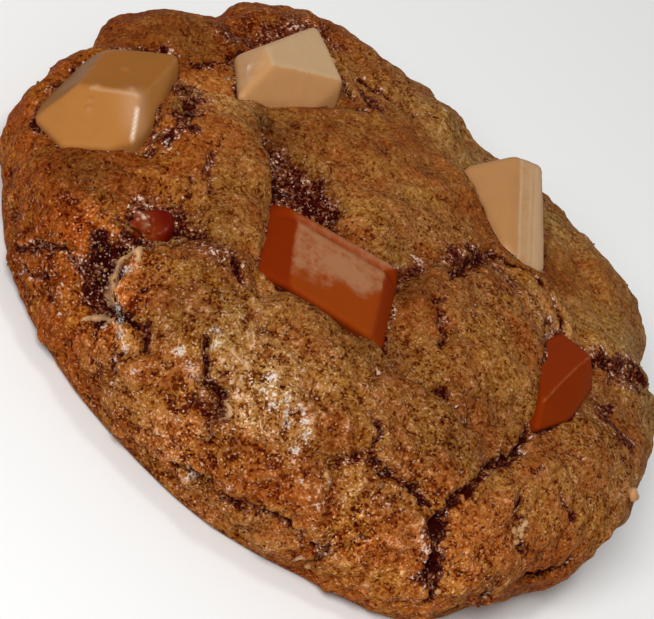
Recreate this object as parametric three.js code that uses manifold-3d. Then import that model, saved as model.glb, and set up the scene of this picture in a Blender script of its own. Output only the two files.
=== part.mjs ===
// A thick, soft chocolate cookie with bar chunks baked into its top.
// Millimetres, +Z up. The near side is -Y. The origin is the middle of the flat base.
//
// The dough is one solid. Its surface is first a smooth dome of revolution. A place on it
// is named by "map" coordinates: the dome unrolled flat, X to the right, Y away from the
// near side, with the distance from the top's centre measured along the surface. The
// relief (swells, pits, cracks, seats for the chunks) is a height over the dome,
// worked out on that map and raised along the dome's normal.

import * as THREE from 'three';
import { ConvexGeometry } from 'three/addons/geometries/ConvexGeometry.js';
import { mergeVertices } from 'three/addons/utils/BufferGeometryUtils.js';
import Module from 'manifold-3d';

// ---------- driving dimensions ----------

const COOKIE_RADIUS = 45;        // at the widest line
const BASE_RADIUS = 41;          // edge of the flat base
const COOKIE_HEIGHT = 23.5;      // smooth dome over the base, without relief
const WIDEST_AT = 9.5;           // height of the widest line
const DOME_ROUND = 2.3;          // superellipse powers: the dome across, the dome up, the side
const DOME_CROWN = 2.2;
const SIDE_ROUND = 2.2;
const SURFACE_STEP = 1.62;       // spacing of the vertices on the dome and the side
const BASE_STEP = 5;             // and on the flat base
const CHUNK_EDGE = 0.5;          // radius of the chunks' softened edges
const CHUNK_GAP = 0.45;          // room left round a chunk in its pocket
const CHUNK_DEPTH = 6;           // how far a chunk goes down below its waist
const CHUNK_LEAN = 0.9;          // the buried foot, drawn in towards the cookie's middle
const POCKET_CLEAR = 7;          // dough taken away above a chunk
const SEAT_MARGIN = 0.2;         // the seat reaches this far past a chunk's waist
const SEAT_SOFT = 0.25;          // softness where a seat meets the crust
const FULL_OUTLINE_AT = 30;      // distance from the centre where the uneven outline is whole
const RELIEF_FADES_BELOW = 2.5;  // height under which the relief dies out towards the base

// ---------- the uneven outline, seen from above ----------
// bearing in degrees from +X, half width in degrees, millimetres outward

const OUTLINE_BULGES = [
  [15, 10, 1.6], [33, 6, -1.7], [50, 14, 2.1], [90, 18, -1.2], [129, 14, 1.6], [151, 8, -2],
  [182, 10, -1.4], [212, 16, 0.8], [255, 14, 0], [285, 12, 0.2], [313, 10, 2], [334, 7, -1.1],
];

// ---------- the swells of the crust ----------
// centre on the map, half length, half width, turn in degrees, rise

const SWELLS = [
  { at: [-23, -11], half: [11, 7.5], turn: -56, rise: 1.2 },   // smooth ridge left of the middle
  { at: [-3, 7], half: [15, 12], turn: 0, rise: 0.9 },         // top of the dome
  { at: [16, -7], half: [12, 12], turn: 30, rise: 1.1 },       // bulge right of the middle
  { at: [18, 9], half: [8, 7], turn: 0, rise: 0.5 },
  { at: [-12, -35], half: [11, 8.5], turn: 0, rise: 1.3 },     // the broad front swell, three lobes
  { at: [4, -33.5], half: [14, 9], turn: 3, rise: 1.5 },
  { at: [19, -29], half: [10, 8], turn: 15, rise: 1.0 },
  { at: [36, -19], half: [12, 9], turn: 70, rise: 0.7 },       // right shoulder
  { at: [34, -33], half: [10, 9], turn: 45, rise: 0.4 },
  { at: [40, -3], half: [11, 9], turn: 85, rise: 0.7 },
  { at: [35, 18], half: [12, 9], turn: 50, rise: 0.5 },        // far rim
  { at: [28, 32], half: [12, 9], turn: -40, rise: 0.6 },
  { at: [15, 37], half: [11, 10], turn: 0, rise: -0.5 },
  { at: [-9, 36], half: [10, 11], turn: 0, rise: 0.1 },
  { at: [-27, 33], half: [12, 10], turn: 35, rise: 0.9 },
  { at: [-42, 12], half: [12, 8], turn: 70, rise: 0.4 },       // left rim
  { at: [-46, -13], half: [16, 9], turn: 80, rise: 0.9 },
  { at: [-35, -28], half: [12, 8], turn: -25, rise: 0.8 },     // left shoulder
  { at: [-33, -43], half: [15, 8], turn: -40, rise: 0.3 },     // near wall
  { at: [-9, -50], half: [14, 9], turn: 0, rise: 0.3 },
  { at: [11, -49], half: [13, 9], turn: 0, rise: 0.3 },
  { at: [29, -46], half: [13, 8], turn: 35, rise: 0.2 },
  { at: [48, -20], half: [14, 9], turn: 75, rise: 0.3 },
  { at: [-19, -20], half: [8, 6], turn: 0, rise: 0.5 },
];
const SWELL_FLOOR = -1.3;        // the lowest that the crust lies between the swells
const SWELL_DROP = 1.53;         // fall from a swell's top to its outline
const SWELL_SOFT = 0.4;          // softness of the creases

// slow waves that bend the swells, roughen the cracks and shake the pits and the whole crust:
// wave length, height, and the seeds that set where the waves fall
const SWELL_BENDS = [{ wave: 11, height: 1.3, seeds: [0.3, 0.7] }, { wave: 4.5, height: 0.5, seeds: [1.3, 1.9] }];
const PIT_BENDS = [{ wave: 4, height: 0.6, seeds: [4, 4.6] }];
const CRACK_WAVES = [{ wave: 2.6, height: 0.35, seed: 2.2 }, { wave: 6, height: 0.25, seed: 3.1 }];
const CRUST_WAVES = [{ wave: 9, height: 0.35, seed: 5 }, { wave: 4.2, height: 0.2, seed: 6 }];

// ---------- cracks and smears ----------
// points on the map, half width, depth (a smear of melted chocolate stands up, so it is negative)

const CRACKS = [
  { path: [[-23, -27], [-15, -26], [-12.5, -27], [-9.5, -30]], half: 1.1, depth: 1.8 },
  { path: [[-24, -29], [-22, -31.5], [-24, -35], [-21.5, -40.5], [-20, -42.5]], half: 2.0, depth: 3.0 },
  { path: [[-26, -34], [-25, -38], [-24, -42], [-21, -44]], half: 2.0, depth: 2.2 },
  { path: [[-40, -36], [-38, -38.5], [-30, -37.5], [-26.5, -39], [-24, -37]], half: 1.0, depth: 1.5 },
  { path: [[-45, -27], [-44, -34], [-41.5, -37], [-39, -39]], half: 1.0, depth: 1.6 },
  { path: [[-20, -42.5], [-15, -42], [-13.5, -44.5]], half: 0.9, depth: 1.3 },
  { path: [[-8.3, -39.7], [-5.5, -43], [-3, -43], [-1, -45]], half: 0.9, depth: 1.4 },
  { path: [[13.3, -32.5], [15, -36], [17.5, -36], [22, -34], [25, -33.5]], half: 0.9, depth: 1.2 },
  { path: [[25, -32], [26, -34], [30, -37], [35, -39.5]], half: 1.4, depth: 2.2 },
  { path: [[25, -31.5], [26, -22.5], [29.5, -17], [29.5, -14], [28.7, -12]], half: 1.1, depth: 1.7 },
  { path: [[8, -21.5], [13, -22.5], [16.5, -20], [22, -21]], half: 1.0, depth: 1.6 },
  { path: [[9, -4], [10, 3], [11, 8], [13, 10]], half: 1.2, depth: 1.5 },
  { path: [[10.5, -10.5], [13.3, -15]], half: 0.9, depth: 1.3 },
  { path: [[33, -23], [35, -25.5], [38, -25.5]], half: 0.9, depth: 1.2 },
  { path: [[-32, -1], [-31, -6], [-28, -9], [-26.5, -12]], half: 1.0, depth: 1.4 },
  { path: [[-1.5, -54], [0, -53.3], [4, -52.7]], half: 0.9, depth: 1.0 },
  { path: [[20, -46.5], [22, -49.5], [21.8, -52]], half: 0.9, depth: 1.1 },
  { path: [[-18, 22], [-14, 17], [-12, 14]], half: 1.2, depth: 1.6 },
  { path: [[-16, 24], [-8, 27]], half: 1.2, depth: 1.6 },
  { path: [[12, 9], [17, 11], [22, 9], [25, 6]], half: 1.3, depth: 1.5 },
  { path: [[28, 8], [31, 10.5], [36.5, 16.5], [40, 21]], half: 1.3, depth: 1.1 },
  { path: [[-33, 4], [-30, 8], [-30, 14], [-28, 20], [-22, 25]], half: 1.5, depth: 1.9 },
  { path: [[-40, 2], [-36, 4], [-30, 5]], half: 1.2, depth: 1.4 },
  { path: [[-20.3, -34.5], [-22, -38], [-20, -42]], half: 1.0, depth: -0.7 },
  { path: [[-5, -37.5], [-2, -41], [-0.5, -44.5]], half: 1.0, depth: -0.5 },
  { path: [[37, -24], [39.5, -23.8]], half: 1.0, depth: -0.6 },
];

// ---------- open pits between the swells ----------
// outline on the map, depth, width of the sloping edge

const PITS = [
  {
    outline: [[-21, -2.5], [-17, -1.5], [-8, -4], [-4, -8], [-3, -11], [-11.5, -14], [-15, -10.5], [-18, -6.5]],
    depth: 3.0,
    edge: 1.6,
  },
  {
    outline: [[-27, -33], [-22.5, -31], [-22, -36], [-21, -41], [-22, -45], [-25, -44], [-28, -39]],
    depth: 1.6,
    edge: 1.5,
  },
  { outline: [[-27, -25], [-23, -23], [-18, -24], [-17, -27.5], [-20, -31], [-25, -30]], depth: 1.2, edge: 1.4 },
];

// ---------- the chocolate chunks ----------
// Cut bar squares. The crown is the top facet, the waist is where the slanted sides end.
// The seat is how low the dough lies against the waist, how fast it rises around it, and its tilt.

const CHUNKS = {
  milk_chunk_left: {
    crown: [[-40.3, -4.4, 17.3], [-33.7, -0.8, 20.5], [-33.4, -15.1, 21.7], [-39.8, -16.3, 17.7]],
    waist: [
      [-41.5, -6.5, 15.2], [-32.8, -1.2, 19.6], [-30.2, -14.6, 19.7], [-30.1, -19.3, 19.2],
      [-31.8, -22.2, 17.9], [-36.1, -23.7, 15.1], [-41, -19.4, 12.9], [-41.5, -17.2, 13],
    ],
    seat: { depth: -0.3, slope: 1.2, tilt: [0, 0] },
    kind: 'milk',
  },
  milk_chunk_back: {
    crown: [[-24.3, 5.4, 24.6], [-16.8, 13.2, 24.4], [-23.7, 19.2, 24.4], [-26.3, 7.7, 24.5]],
    waist: [[-28.5, 8.4, 20.1], [-24.6, 0.4, 21], [-17.1, 9.8, 21.7], [-15.7, 13.1, 21.8], [-24.6, 21, 20.5]],
    seat: { depth: -1, slope: 0.7, tilt: [0, 0] },
    kind: 'milk',
  },
  milk_chunk_right: {
    crown: [[5.8, 25.4, 25], [7.1, 26.4, 25.2], [9.1, 27.9, 24.9]],
    waist: [
      [2.2, 22, 21.4], [11.7, 12.9, 22.1], [13.8, 12.5, 21.9], [17.4, 14.8, 21.3], [13, 29, 18.5],
      [4, 29, 19],
    ],
    seat: { depth: -1.1, slope: 0.6, tilt: [0, 0] },
    kind: 'milk',
  },
  dark_chunk_centre: {
    crown: [[-9.6, -14.7, 22.6], [2.5, -11.4, 23], [5.9, -22.7, 21.9], [-5.1, -25.2, 21.5]],
    waist: [[-12.9, -13.2, 21], [3.7, -8, 21.8], [8, -21.6, 20.9], [-8.9, -24.9, 20.2]],
    seat: { depth: -1.4, slope: 1.1, tilt: [0.02, -0.1] },
    kind: 'dark',
  },
  dark_chunk_right: {
    crown: [[28.5, 6.1, 21.7], [27, -8.5, 21.4]],
    waist: [
      [24.2, 6.3, 21.3], [22.8, 1, 21.6], [26.2, -6, 21], [28.5, -11.4, 19.8], [31, -4.7, 19.7],
      [31, 3.9, 19.7],
    ],
    seat: { depth: -0.55, slope: 0.8, tilt: [-0.17, 0] },
    kind: 'dark',
  },
  dark_chunk_sunken: {
    crown: [[-24.6, -26.3, 18], [-21.2, -24.8, 19], [-19.6, -26.9, 18.8], [-21, -29, 18], [-23.9, -28.8, 17.4]],
    waist: [
      [-25.5, -26.3, 16.4], [-20.5, -24, 17.4], [-18.9, -27, 17.4], [-21, -30, 16.4],
      [-24.5, -29.5, 16],
    ],
    seat: { depth: -1.9, slope: 0.8, tilt: [0, 0] },
    kind: 'dark',
  },
};

// ---------- materials ----------

const MATERIALS = {
  dough: new THREE.MeshStandardMaterial({ color: 0x8a5526, roughness: 0.75, metalness: 0 }),
  milk: new THREE.MeshStandardMaterial({ color: 0xb48455, roughness: 0.4, metalness: 0 }),
  dark: new THREE.MeshStandardMaterial({ color: 0x7a2c0a, roughness: 0.35, metalness: 0 }),
};

// ---------- small maths ----------

const radians = THREE.MathUtils.degToRad;

function smooth(x) {
  return THREE.MathUtils.smoothstep(x, 0, 1);
}

/** A soft random-looking wave, about -1 to 1: sines in golden-angle directions. */
function ripple(x, y, wave, seed) {
  const count = 9;
  const goldenAngle = 2.39996;
  const goldenPart = 0.618;
  const strongest = 1.2;
  let sum = 0;
  for (let n = 0; n < count; n += 1) {
    const angle = n * goldenAngle + seed;
    const pitch = (2 * Math.PI / wave) * (0.75 + 0.5 * ((n * goldenPart + seed) % 1));
    const phase = n * n * 1.7 + seed * 5;
    sum += Math.sin(pitch * (x * Math.cos(angle) + y * Math.sin(angle)) + phase);
  }
  return sum / Math.sqrt(count) / strongest;
}

/** The sum of some waves at a place. */
function waveHeight(x, y, waves) {
  return waves.reduce((sum, { wave, height, seed }) => sum + height * ripple(x, y, wave, seed), 0);
}

/** A place, moved a little by slow waves along X and along Y. */
function bent(x, y, bends) {
  const move = (axis) => bends.reduce(
    (sum, { wave, height, seeds }) => sum + height * ripple(x, y, wave, seeds[axis]),
    0,
  );
  return [x + move(0), y + move(1)];
}

/** Distance from a point to a line of straight stretches. */
function distanceToPath(x, y, path) {
  let nearest = Infinity;
  for (let i = 1; i < path.length; i += 1) {
    const [ax, ay] = path[i - 1];
    const dx = path[i][0] - ax;
    const dy = path[i][1] - ay;
    const along = THREE.MathUtils.clamp(((x - ax) * dx + (y - ay) * dy) / (dx * dx + dy * dy), 0, 1);
    nearest = Math.min(nearest, Math.hypot(x - ax - along * dx, y - ay - along * dy));
  }
  return nearest;
}

/** Distance to an outline, positive inside it. */
function depthInside(x, y, outline) {
  const edge = distanceToPath(x, y, [...outline, outline[0]]);
  let inside = false;
  outline.forEach(([ax, ay], i) => {
    const [bx, by] = outline[(i + 1) % outline.length];
    if ((ay > y) !== (by > y) && x < ((bx - ax) * (y - ay)) / (by - ay) + ax) {
      inside = !inside;
    }
  });
  return inside ? edge : -edge;
}

// ---------- the smooth dome ----------

/** The dome's section from the top's centre to the base edge: radius, height, length along it. */
function domeSection() {
  const steps = 300;
  const rows = [];
  for (let i = 0; i <= steps; i += 1) {
    const a = (i / steps) * Math.PI / 2;
    rows.push([
      COOKIE_RADIUS * Math.sin(a) ** (2 / DOME_ROUND),
      WIDEST_AT + (COOKIE_HEIGHT - WIDEST_AT) * Math.max(0, Math.cos(a)) ** (2 / DOME_CROWN),
    ]);
  }
  for (let i = 1; i <= steps / 3; i += 1) {
    const b = (i / (steps / 3)) * Math.PI / 2;
    rows.push([
      BASE_RADIUS + (COOKIE_RADIUS - BASE_RADIUS) * Math.max(0, Math.cos(b)) ** (2 / SIDE_ROUND),
      WIDEST_AT - WIDEST_AT * Math.sin(b) ** (2 / SIDE_ROUND),
    ]);
  }
  let length = 0;
  return rows.map(([radius, height], i) => {
    if (i > 0) {
      length += Math.hypot(radius - rows[i - 1][0], height - rows[i - 1][1]);
    }
    return { radius, height, length };
  });
}

const SECTION = domeSection();
const SECTION_LENGTH = SECTION[SECTION.length - 1].length;

/** Radius and height at a length along the section. */
function onSection(length) {
  const wanted = THREE.MathUtils.clamp(length, 0, SECTION_LENGTH);
  let k = SECTION.findIndex((row) => row.length >= wanted);
  k = Math.max(1, k);
  const a = SECTION[k - 1];
  const b = SECTION[k];
  const t = (wanted - a.length) / (b.length - a.length);
  return {
    radius: THREE.MathUtils.lerp(a.radius, b.radius, t),
    height: THREE.MathUtils.lerp(a.height, b.height, t),
  };
}

/** How much the outline stands out, as a factor on the radius, at a bearing. */
function outlineFactor(bearing) {
  let factor = 1 + 0.003 * Math.cos(9 * bearing + 0.6) + 0.002 * Math.cos(14 * bearing + 2);
  for (const [centre, half, outward] of OUTLINE_BULGES) {
    const away = THREE.MathUtils.euclideanModulo(THREE.MathUtils.radToDeg(bearing) - centre + 180, 360) - 180;
    factor += (outward / COOKIE_RADIUS) * Math.exp(-((away / half) ** 2));
  }
  return factor;
}

/** Map coordinates of a place on the dome, from its plan coordinates. */
function unroll([x, y]) {
  const justInside = 0.999;
  const bearing = Math.atan2(y, x);
  const radius = Math.min(Math.hypot(x, y) / outlineFactor(bearing), justInside * COOKIE_RADIUS);
  const { length } = SECTION.find((row) => row.radius >= radius);
  return [length * Math.cos(bearing), length * Math.sin(bearing)];
}

// ---------- the relief ----------

const SEATS = Object.values(CHUNKS).map(({ waist, seat }) => {
  const outline = waist.map(unroll);
  const middle = [0, 1].map((axis) => outline.reduce((sum, at) => sum + at[axis], 0) / outline.length);
  return { ...seat, outline, middle };
});

function softMinimum(a, b, soft) {
  const low = Math.min(a, b);
  return low - soft * Math.log(Math.exp((low - a) / soft) + Math.exp((low - b) / soft));
}

function swellHeight(x, y) {
  const [bentX, bentY] = bent(x, y, SWELL_BENDS);
  let sum = Math.exp(SWELL_FLOOR / SWELL_SOFT);
  for (const { at, half, turn, rise } of SWELLS) {
    const c = Math.cos(radians(turn));
    const s = Math.sin(radians(turn));
    const dx = bentX - at[0];
    const dy = bentY - at[1];
    const reach = ((dx * c + dy * s) / half[0]) ** 2 + ((dy * c - dx * s) / half[1]) ** 2;
    sum += Math.exp((rise - SWELL_DROP * reach * reach) / SWELL_SOFT);
  }
  return SWELL_SOFT * Math.log(sum);
}

function crackDepth(x, y) {
  const steepness = 1.1;
  const ragged = waveHeight(x, y, CRACK_WAVES);
  let depth = 0;
  for (const crack of CRACKS) {
    const away = distanceToPath(x, y, crack.path) + ragged * Math.min(crack.half, 1);
    const here = crack.depth * Math.exp(-steepness * (Math.max(0, away) / crack.half) ** 2);
    if (Math.abs(here) > Math.abs(depth)) {
      depth = here;
    }
  }
  return depth;
}

function pitDepth(x, y) {
  const edgeOutside = 0.4;
  const [bentX, bentY] = bent(x, y, PIT_BENDS);
  let depth = 0;
  for (const pit of PITS) {
    depth += pit.depth * smooth(depthInside(bentX, bentY, pit.outline) / pit.edge + edgeOutside);
  }
  return depth;
}

/** Height of the crust over the smooth dome, at a place on the map. */
function relief(x, y) {
  let height = swellHeight(x, y) - crackDepth(x, y) - pitDepth(x, y);
  for (const { outline, middle, depth, slope, tilt } of SEATS) {
    const outside = Math.max(0, -depthInside(x, y, outline) - SEAT_MARGIN);
    const level = depth + tilt[0] * (x - middle[0]) + tilt[1] * (y - middle[1]);
    height = softMinimum(height, level + slope * outside, SEAT_SOFT);
  }
  return height + waveHeight(x, y, CRUST_WAVES);
}

/** The point of the crust at a length along the section and a bearing. */
function crustPoint(length, bearing) {
  const probe = 0.6;
  const { radius, height } = onSection(length);
  const before = onSection(length - probe);
  const after = onSection(length + probe);
  const slope = Math.hypot(after.radius - before.radius, after.height - before.height) || 1;
  const outward = (before.height - after.height) / slope;
  const upward = (after.radius - before.radius) / slope;
  const relieved = relief(length * Math.cos(bearing), length * Math.sin(bearing));
  const raised = relieved * smooth(height / RELIEF_FADES_BELOW);
  const factor = 1 + (outlineFactor(bearing) - 1) * smooth(length / FULL_OUTLINE_AT);
  const reach = radius * factor + outward * raised;
  return [reach * Math.cos(bearing), reach * Math.sin(bearing), height + upward * raised];
}

// ---------- meshes ----------

/** Triangles between two rings of vertices, each given as its first index and its count. */
function stitchRings(inner, outer) {
  const triangles = [];
  let i = 0;
  let j = 0;
  while (i < inner.count || j < outer.count) {
    const a = inner.first + (i % inner.count);
    const b = outer.first + (j % outer.count);
    const outerIsNext = (j + 0.5) / outer.count <= (i + 0.5) / inner.count;
    if (i >= inner.count || (j < outer.count && outerIsNext)) {
      triangles.push(a, b, outer.first + ((j + 1) % outer.count));
      j += 1;
    } else {
      triangles.push(a, b, inner.first + ((i + 1) % inner.count));
      i += 1;
    }
  }
  return triangles;
}

/** The whole dough body before the chunks' pockets: crust rings outward, then base rings inward. */
function doughGeometry() {
  const positions = [...crustPoint(0, 0)];
  const rings = [{ first: 0, count: 1 }];
  const addRing = (count, point) => {
    rings.push({ first: positions.length / 3, count });
    for (let k = 0; k < count; k += 1) {
      positions.push(...point((k / count) * 2 * Math.PI));
    }
  };
  const crustRings = Math.round(SECTION_LENGTH / SURFACE_STEP);
  for (let ring = 1; ring <= crustRings; ring += 1) {
    const length = (SECTION_LENGTH * ring) / crustRings;
    const around = Math.round((2 * Math.PI * onSection(length).radius) / SURFACE_STEP);
    addRing(Math.max(6, around), (bearing) => crustPoint(length, bearing));
  }
  const baseRings = Math.round(BASE_RADIUS / BASE_STEP);
  for (let ring = 1; ring < baseRings; ring += 1) {
    const inward = 1 - ring / baseRings;
    const around = Math.round((2 * Math.PI * BASE_RADIUS * inward) / BASE_STEP);
    addRing(Math.max(6, around), (bearing) => {
      const [x, y] = crustPoint(SECTION_LENGTH, bearing);
      return [x * inward, y * inward, 0];
    });
  }
  addRing(1, () => [0, 0, 0]);

  const indices = [];
  for (let k = 1; k < rings.length; k += 1) {
    const triangles = stitchRings(rings[k - 1], rings[k]);
    for (let t = 0; t < triangles.length; t += 3) {
      const corners = triangles.slice(t, t + 3);
      if (new Set(corners).size === 3) {
        indices.push(...corners);
      }
    }
  }
  const geometry = new THREE.BufferGeometry();
  geometry.setAttribute('position', new THREE.Float32BufferAttribute(positions, 3));
  geometry.setIndex(indices);
  return geometry;
}

/** The twelve corners of a small icosahedron, which softens each corner of a chunk. */
function softCorner(radius) {
  const golden = (1 + Math.sqrt(5)) / 2;
  const corners = [];
  for (const a of [-1, 1]) {
    for (const b of [-golden, golden]) {
      corners.push(new THREE.Vector3(0, a, b), new THREE.Vector3(a, b, 0), new THREE.Vector3(b, 0, a));
    }
  }
  return corners.map((corner) => corner.setLength(radius));
}

/** The hull round a chunk's corners, each softened to a radius. */
function hullGeometry(corners, radius) {
  const soft = softCorner(radius);
  const points = corners.flatMap((corner) => soft.map((s) => new THREE.Vector3(...corner).add(s)));
  const hull = new ConvexGeometry(points);
  hull.deleteAttribute('normal');
  return mergeVertices(hull, 1e-4);
}

function footOf(waist) {
  return waist.map(([x, y, z]) => [x * CHUNK_LEAN, y * CHUNK_LEAN, z - CHUNK_DEPTH]);
}

function chunkGeometry({ crown, waist }) {
  return hullGeometry([...crown, ...waist, ...footOf(waist)], CHUNK_EDGE);
}

/** What a chunk takes out of the dough: itself with some room, and all that is above its crown. */
function pocketGeometry({ crown, waist }) {
  const above = crown.map(([x, y, z]) => [x, y, z + POCKET_CLEAR]);
  return hullGeometry([...crown, ...waist, ...footOf(waist), ...above], CHUNK_EDGE + CHUNK_GAP);
}

// ---------- cutting the pockets ----------

const wasm = await Module();
wasm.setup();

function toSolid(geometry) {
  return new wasm.Manifold(new wasm.Mesh({
    numProp: 3,
    vertProperties: new Float32Array(geometry.attributes.position.array),
    triVerts: new Uint32Array(geometry.index.array),
  }));
}

function toGeometry(solid) {
  const mesh = solid.getMesh();
  const geometry = new THREE.BufferGeometry();
  geometry.setAttribute('position', new THREE.BufferAttribute(mesh.vertProperties, 3));
  geometry.setIndex(new THREE.BufferAttribute(mesh.triVerts, 1));
  return geometry;
}

let dough = toSolid(doughGeometry());
for (const chunk of Object.values(CHUNKS)) {
  dough = dough.subtract(toSolid(pocketGeometry(chunk)));
}

// ---------- the cookie ----------

const cookie = new THREE.Group();

function addPiece(name, geometry, material) {
  const mesh = new THREE.Mesh(geometry, material);
  mesh.name = name;
  cookie.add(mesh);
}

addPiece('dough', toGeometry(dough), MATERIALS.dough);
for (const [name, chunk] of Object.entries(CHUNKS)) {
  addPiece(name, chunkGeometry(chunk), MATERIALS[chunk.kind]);
}

// the origin goes to the middle of the cookie's own box, on the flat base
const middle = new THREE.Box3().setFromObject(cookie).getCenter(new THREE.Vector3());
for (const piece of cookie.children) {
  piece.position.set(-middle.x, -middle.y, 0);
}

export default cookie;
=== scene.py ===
"""A thick, soft chocolate cookie with cut chocolate pieces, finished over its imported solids.

The crust is one fine mesh over the same dome and relief as the dough solid, with the grain, the
small cracks and the colours added. Each cut chocolate piece is a softened hull round the same
corners as its solid. Shapes are worked out in millimetres and put into the scene in metres.
"""

import math

import bmesh
import bpy
import numpy as np
from bpy.props import FloatProperty, FloatVectorProperty, IntProperty, PointerProperty
from mathutils import Matrix, Vector, noise


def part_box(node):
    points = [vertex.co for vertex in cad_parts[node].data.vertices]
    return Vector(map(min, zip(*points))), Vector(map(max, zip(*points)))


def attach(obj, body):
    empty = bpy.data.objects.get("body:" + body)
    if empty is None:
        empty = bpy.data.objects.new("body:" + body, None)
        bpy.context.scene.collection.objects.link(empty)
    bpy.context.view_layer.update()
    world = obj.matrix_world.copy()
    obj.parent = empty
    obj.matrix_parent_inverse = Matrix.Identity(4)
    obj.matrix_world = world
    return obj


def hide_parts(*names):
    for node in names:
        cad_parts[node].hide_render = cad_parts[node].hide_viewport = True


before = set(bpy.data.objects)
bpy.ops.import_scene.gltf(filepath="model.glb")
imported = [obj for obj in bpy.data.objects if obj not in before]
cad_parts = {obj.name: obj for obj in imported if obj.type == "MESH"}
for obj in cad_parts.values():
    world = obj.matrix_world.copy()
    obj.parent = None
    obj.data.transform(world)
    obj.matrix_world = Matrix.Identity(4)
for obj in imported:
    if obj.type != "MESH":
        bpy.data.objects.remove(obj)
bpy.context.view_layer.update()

bl_info = {
    "name": "Chocolate cookie",
    "version": (1, 0, 0),
    "blender": (4, 5, 0),
    "location": "View3D > Sidebar > Cookie",
    "description": "Builds a thick chocolate cookie with cut chocolate pieces in its crust",
    "category": "Object",
}

MM = 0.001

# ---------- the form of the dough, in millimetres, as in its solid ----------

COOKIE_RADIUS = 45.0
BASE_RADIUS = 41.0
COOKIE_HEIGHT = 23.5
WIDEST_AT = 9.5
DOME_ROUND = 2.3
DOME_CROWN = 2.2
SIDE_ROUND = 2.2
GOLDEN_ANGLE = 2.39996

# bearing in degrees, half width in degrees, millimetres outward
OUTLINE_BULGES = [
    (15, 10, 1.6), (33, 6, -1.7), (50, 14, 2.1), (90, 18, -1.2), (129, 14, 1.6), (151, 8, -2.0),
    (182, 10, -1.4), (212, 16, 0.8), (255, 14, 0), (285, 12, 0.2), (313, 10, 2.0), (334, 7, -1.1),
]

# centre on the map, half length, half width, turn in degrees, rise
SWELLS = [
    (-23, -11, 11, 7.5, -56, 1.2), (-3, 7, 15, 12, 0, 0.9), (16, -7, 12, 12, 30, 1.1),
    (18, 9, 8, 7, 0, 0.5), (-12, -35, 11, 8.5, 0, 1.3), (4, -33.5, 14, 9, 3, 1.5),
    (19, -29, 10, 8, 15, 1.0), (36, -19, 12, 9, 70, 0.7), (34, -33, 10, 9, 45, 0.4),
    (40, -3, 11, 9, 85, 0.7), (35, 18, 12, 9, 50, 0.5), (28, 32, 12, 9, -40, 0.6),
    (15, 37, 11, 10, 0, -0.5), (-9, 36, 10, 11, 0, 0.1), (-27, 33, 12, 10, 35, 0.9),
    (-42, 12, 12, 8, 70, 0.4), (-46, -13, 16, 9, 80, 0.9), (-35, -28, 12, 8, -25, 0.8),
    (-33, -43, 15, 8, -40, 0.3), (-9, -50, 14, 9, 0, 0.3), (11, -49, 13, 9, 0, 0.3),
    (29, -46, 13, 8, 35, 0.2), (48, -20, 14, 9, 75, 0.3), (-19, -20, 8, 6, 0, 0.5),
]
SWELL_FLOOR = -1.3
SWELL_DROP = 1.53
SWELL_SOFT = 0.4

# how the swells, cracks, pits, smears and stains wander: reach, wave length, seed for x and for y
SWELL_WAVES = [(1.3, 11, 0.3, 0.7), (0.5, 4.5, 1.3, 1.9)]
CRACK_WAVES = [(0.35, 2.4, 7.1, 3.7), (0.2, 1.1, 8.3, 4.9)]
PIT_WAVES = [(0.6, 4, 4.0, 4.6)]
SMEAR_WAVES = [(0.3, 2.1, 5.2, 2.2), (0.15, 0.9, 6.1, 3.1)]
STAIN_WAVES = [(0.8, 3.1, 5.7, 2.6)]

# path on the map, half width, depth
CRACKS = [
    ([(-23, -27), (-15, -26), (-12.5, -27), (-9.5, -30)], 1.1, 1.8),
    ([(-24, -29), (-22, -31.5), (-24, -35), (-21.5, -40.5), (-20, -42.5)], 2.0, 3.0),
    ([(-26, -34), (-25, -38), (-24, -42), (-21, -44)], 2.0, 2.2),
    ([(-40, -36), (-38, -38.5), (-30, -37.5), (-26.5, -39), (-24, -37)], 1.0, 1.5),
    ([(-45, -27), (-44, -34), (-41.5, -37), (-39, -39)], 1.0, 1.6),
    ([(-20, -42.5), (-15, -42), (-13.5, -44.5)], 0.9, 1.3),
    ([(-8.3, -39.7), (-5.5, -43), (-3, -43), (-1, -45)], 0.9, 1.4),
    ([(13.3, -32.5), (15, -36), (17.5, -36), (22, -34), (25, -33.5)], 0.9, 1.2),
    ([(25, -32), (26, -34), (30, -37), (35, -39.5)], 1.4, 2.2),
    ([(25, -31.5), (26, -22.5), (29.5, -17), (29.5, -14), (28.7, -12)], 1.1, 1.7),
    ([(8, -21.5), (13, -22.5), (16.5, -20), (22, -21)], 1.0, 1.6),
    ([(9, -4), (10, 3), (11, 8), (13, 10)], 1.2, 1.5), ([(10.5, -10.5), (13.3, -15)], 0.9, 1.3),
    ([(33, -23), (35, -25.5), (38, -25.5)], 0.9, 1.2),
    ([(-32, -1), (-31, -6), (-28, -9), (-26.5, -12)], 1.0, 1.4),
    ([(-1.5, -54), (0, -53.3), (4, -52.7)], 0.9, 1.0), ([(20, -46.5), (22, -49.5), (21.8, -52)], 0.9, 1.1),
    ([(-18, 22), (-14, 17), (-12, 14)], 1.2, 1.6), ([(-16, 24), (-8, 27)], 1.2, 1.6),
    ([(12, 9), (17, 11), (22, 9), (25, 6)], 1.3, 1.5),
    ([(28, 8), (31, 10.5), (36.5, 16.5), (40, 21)], 1.3, 1.1),
    ([(-33, 4), (-30, 8), (-30, 14), (-28, 20), (-22, 25)], 1.5, 1.9),
    ([(-40, 2), (-36, 4), (-30, 5)], 1.2, 1.4),
]

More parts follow.
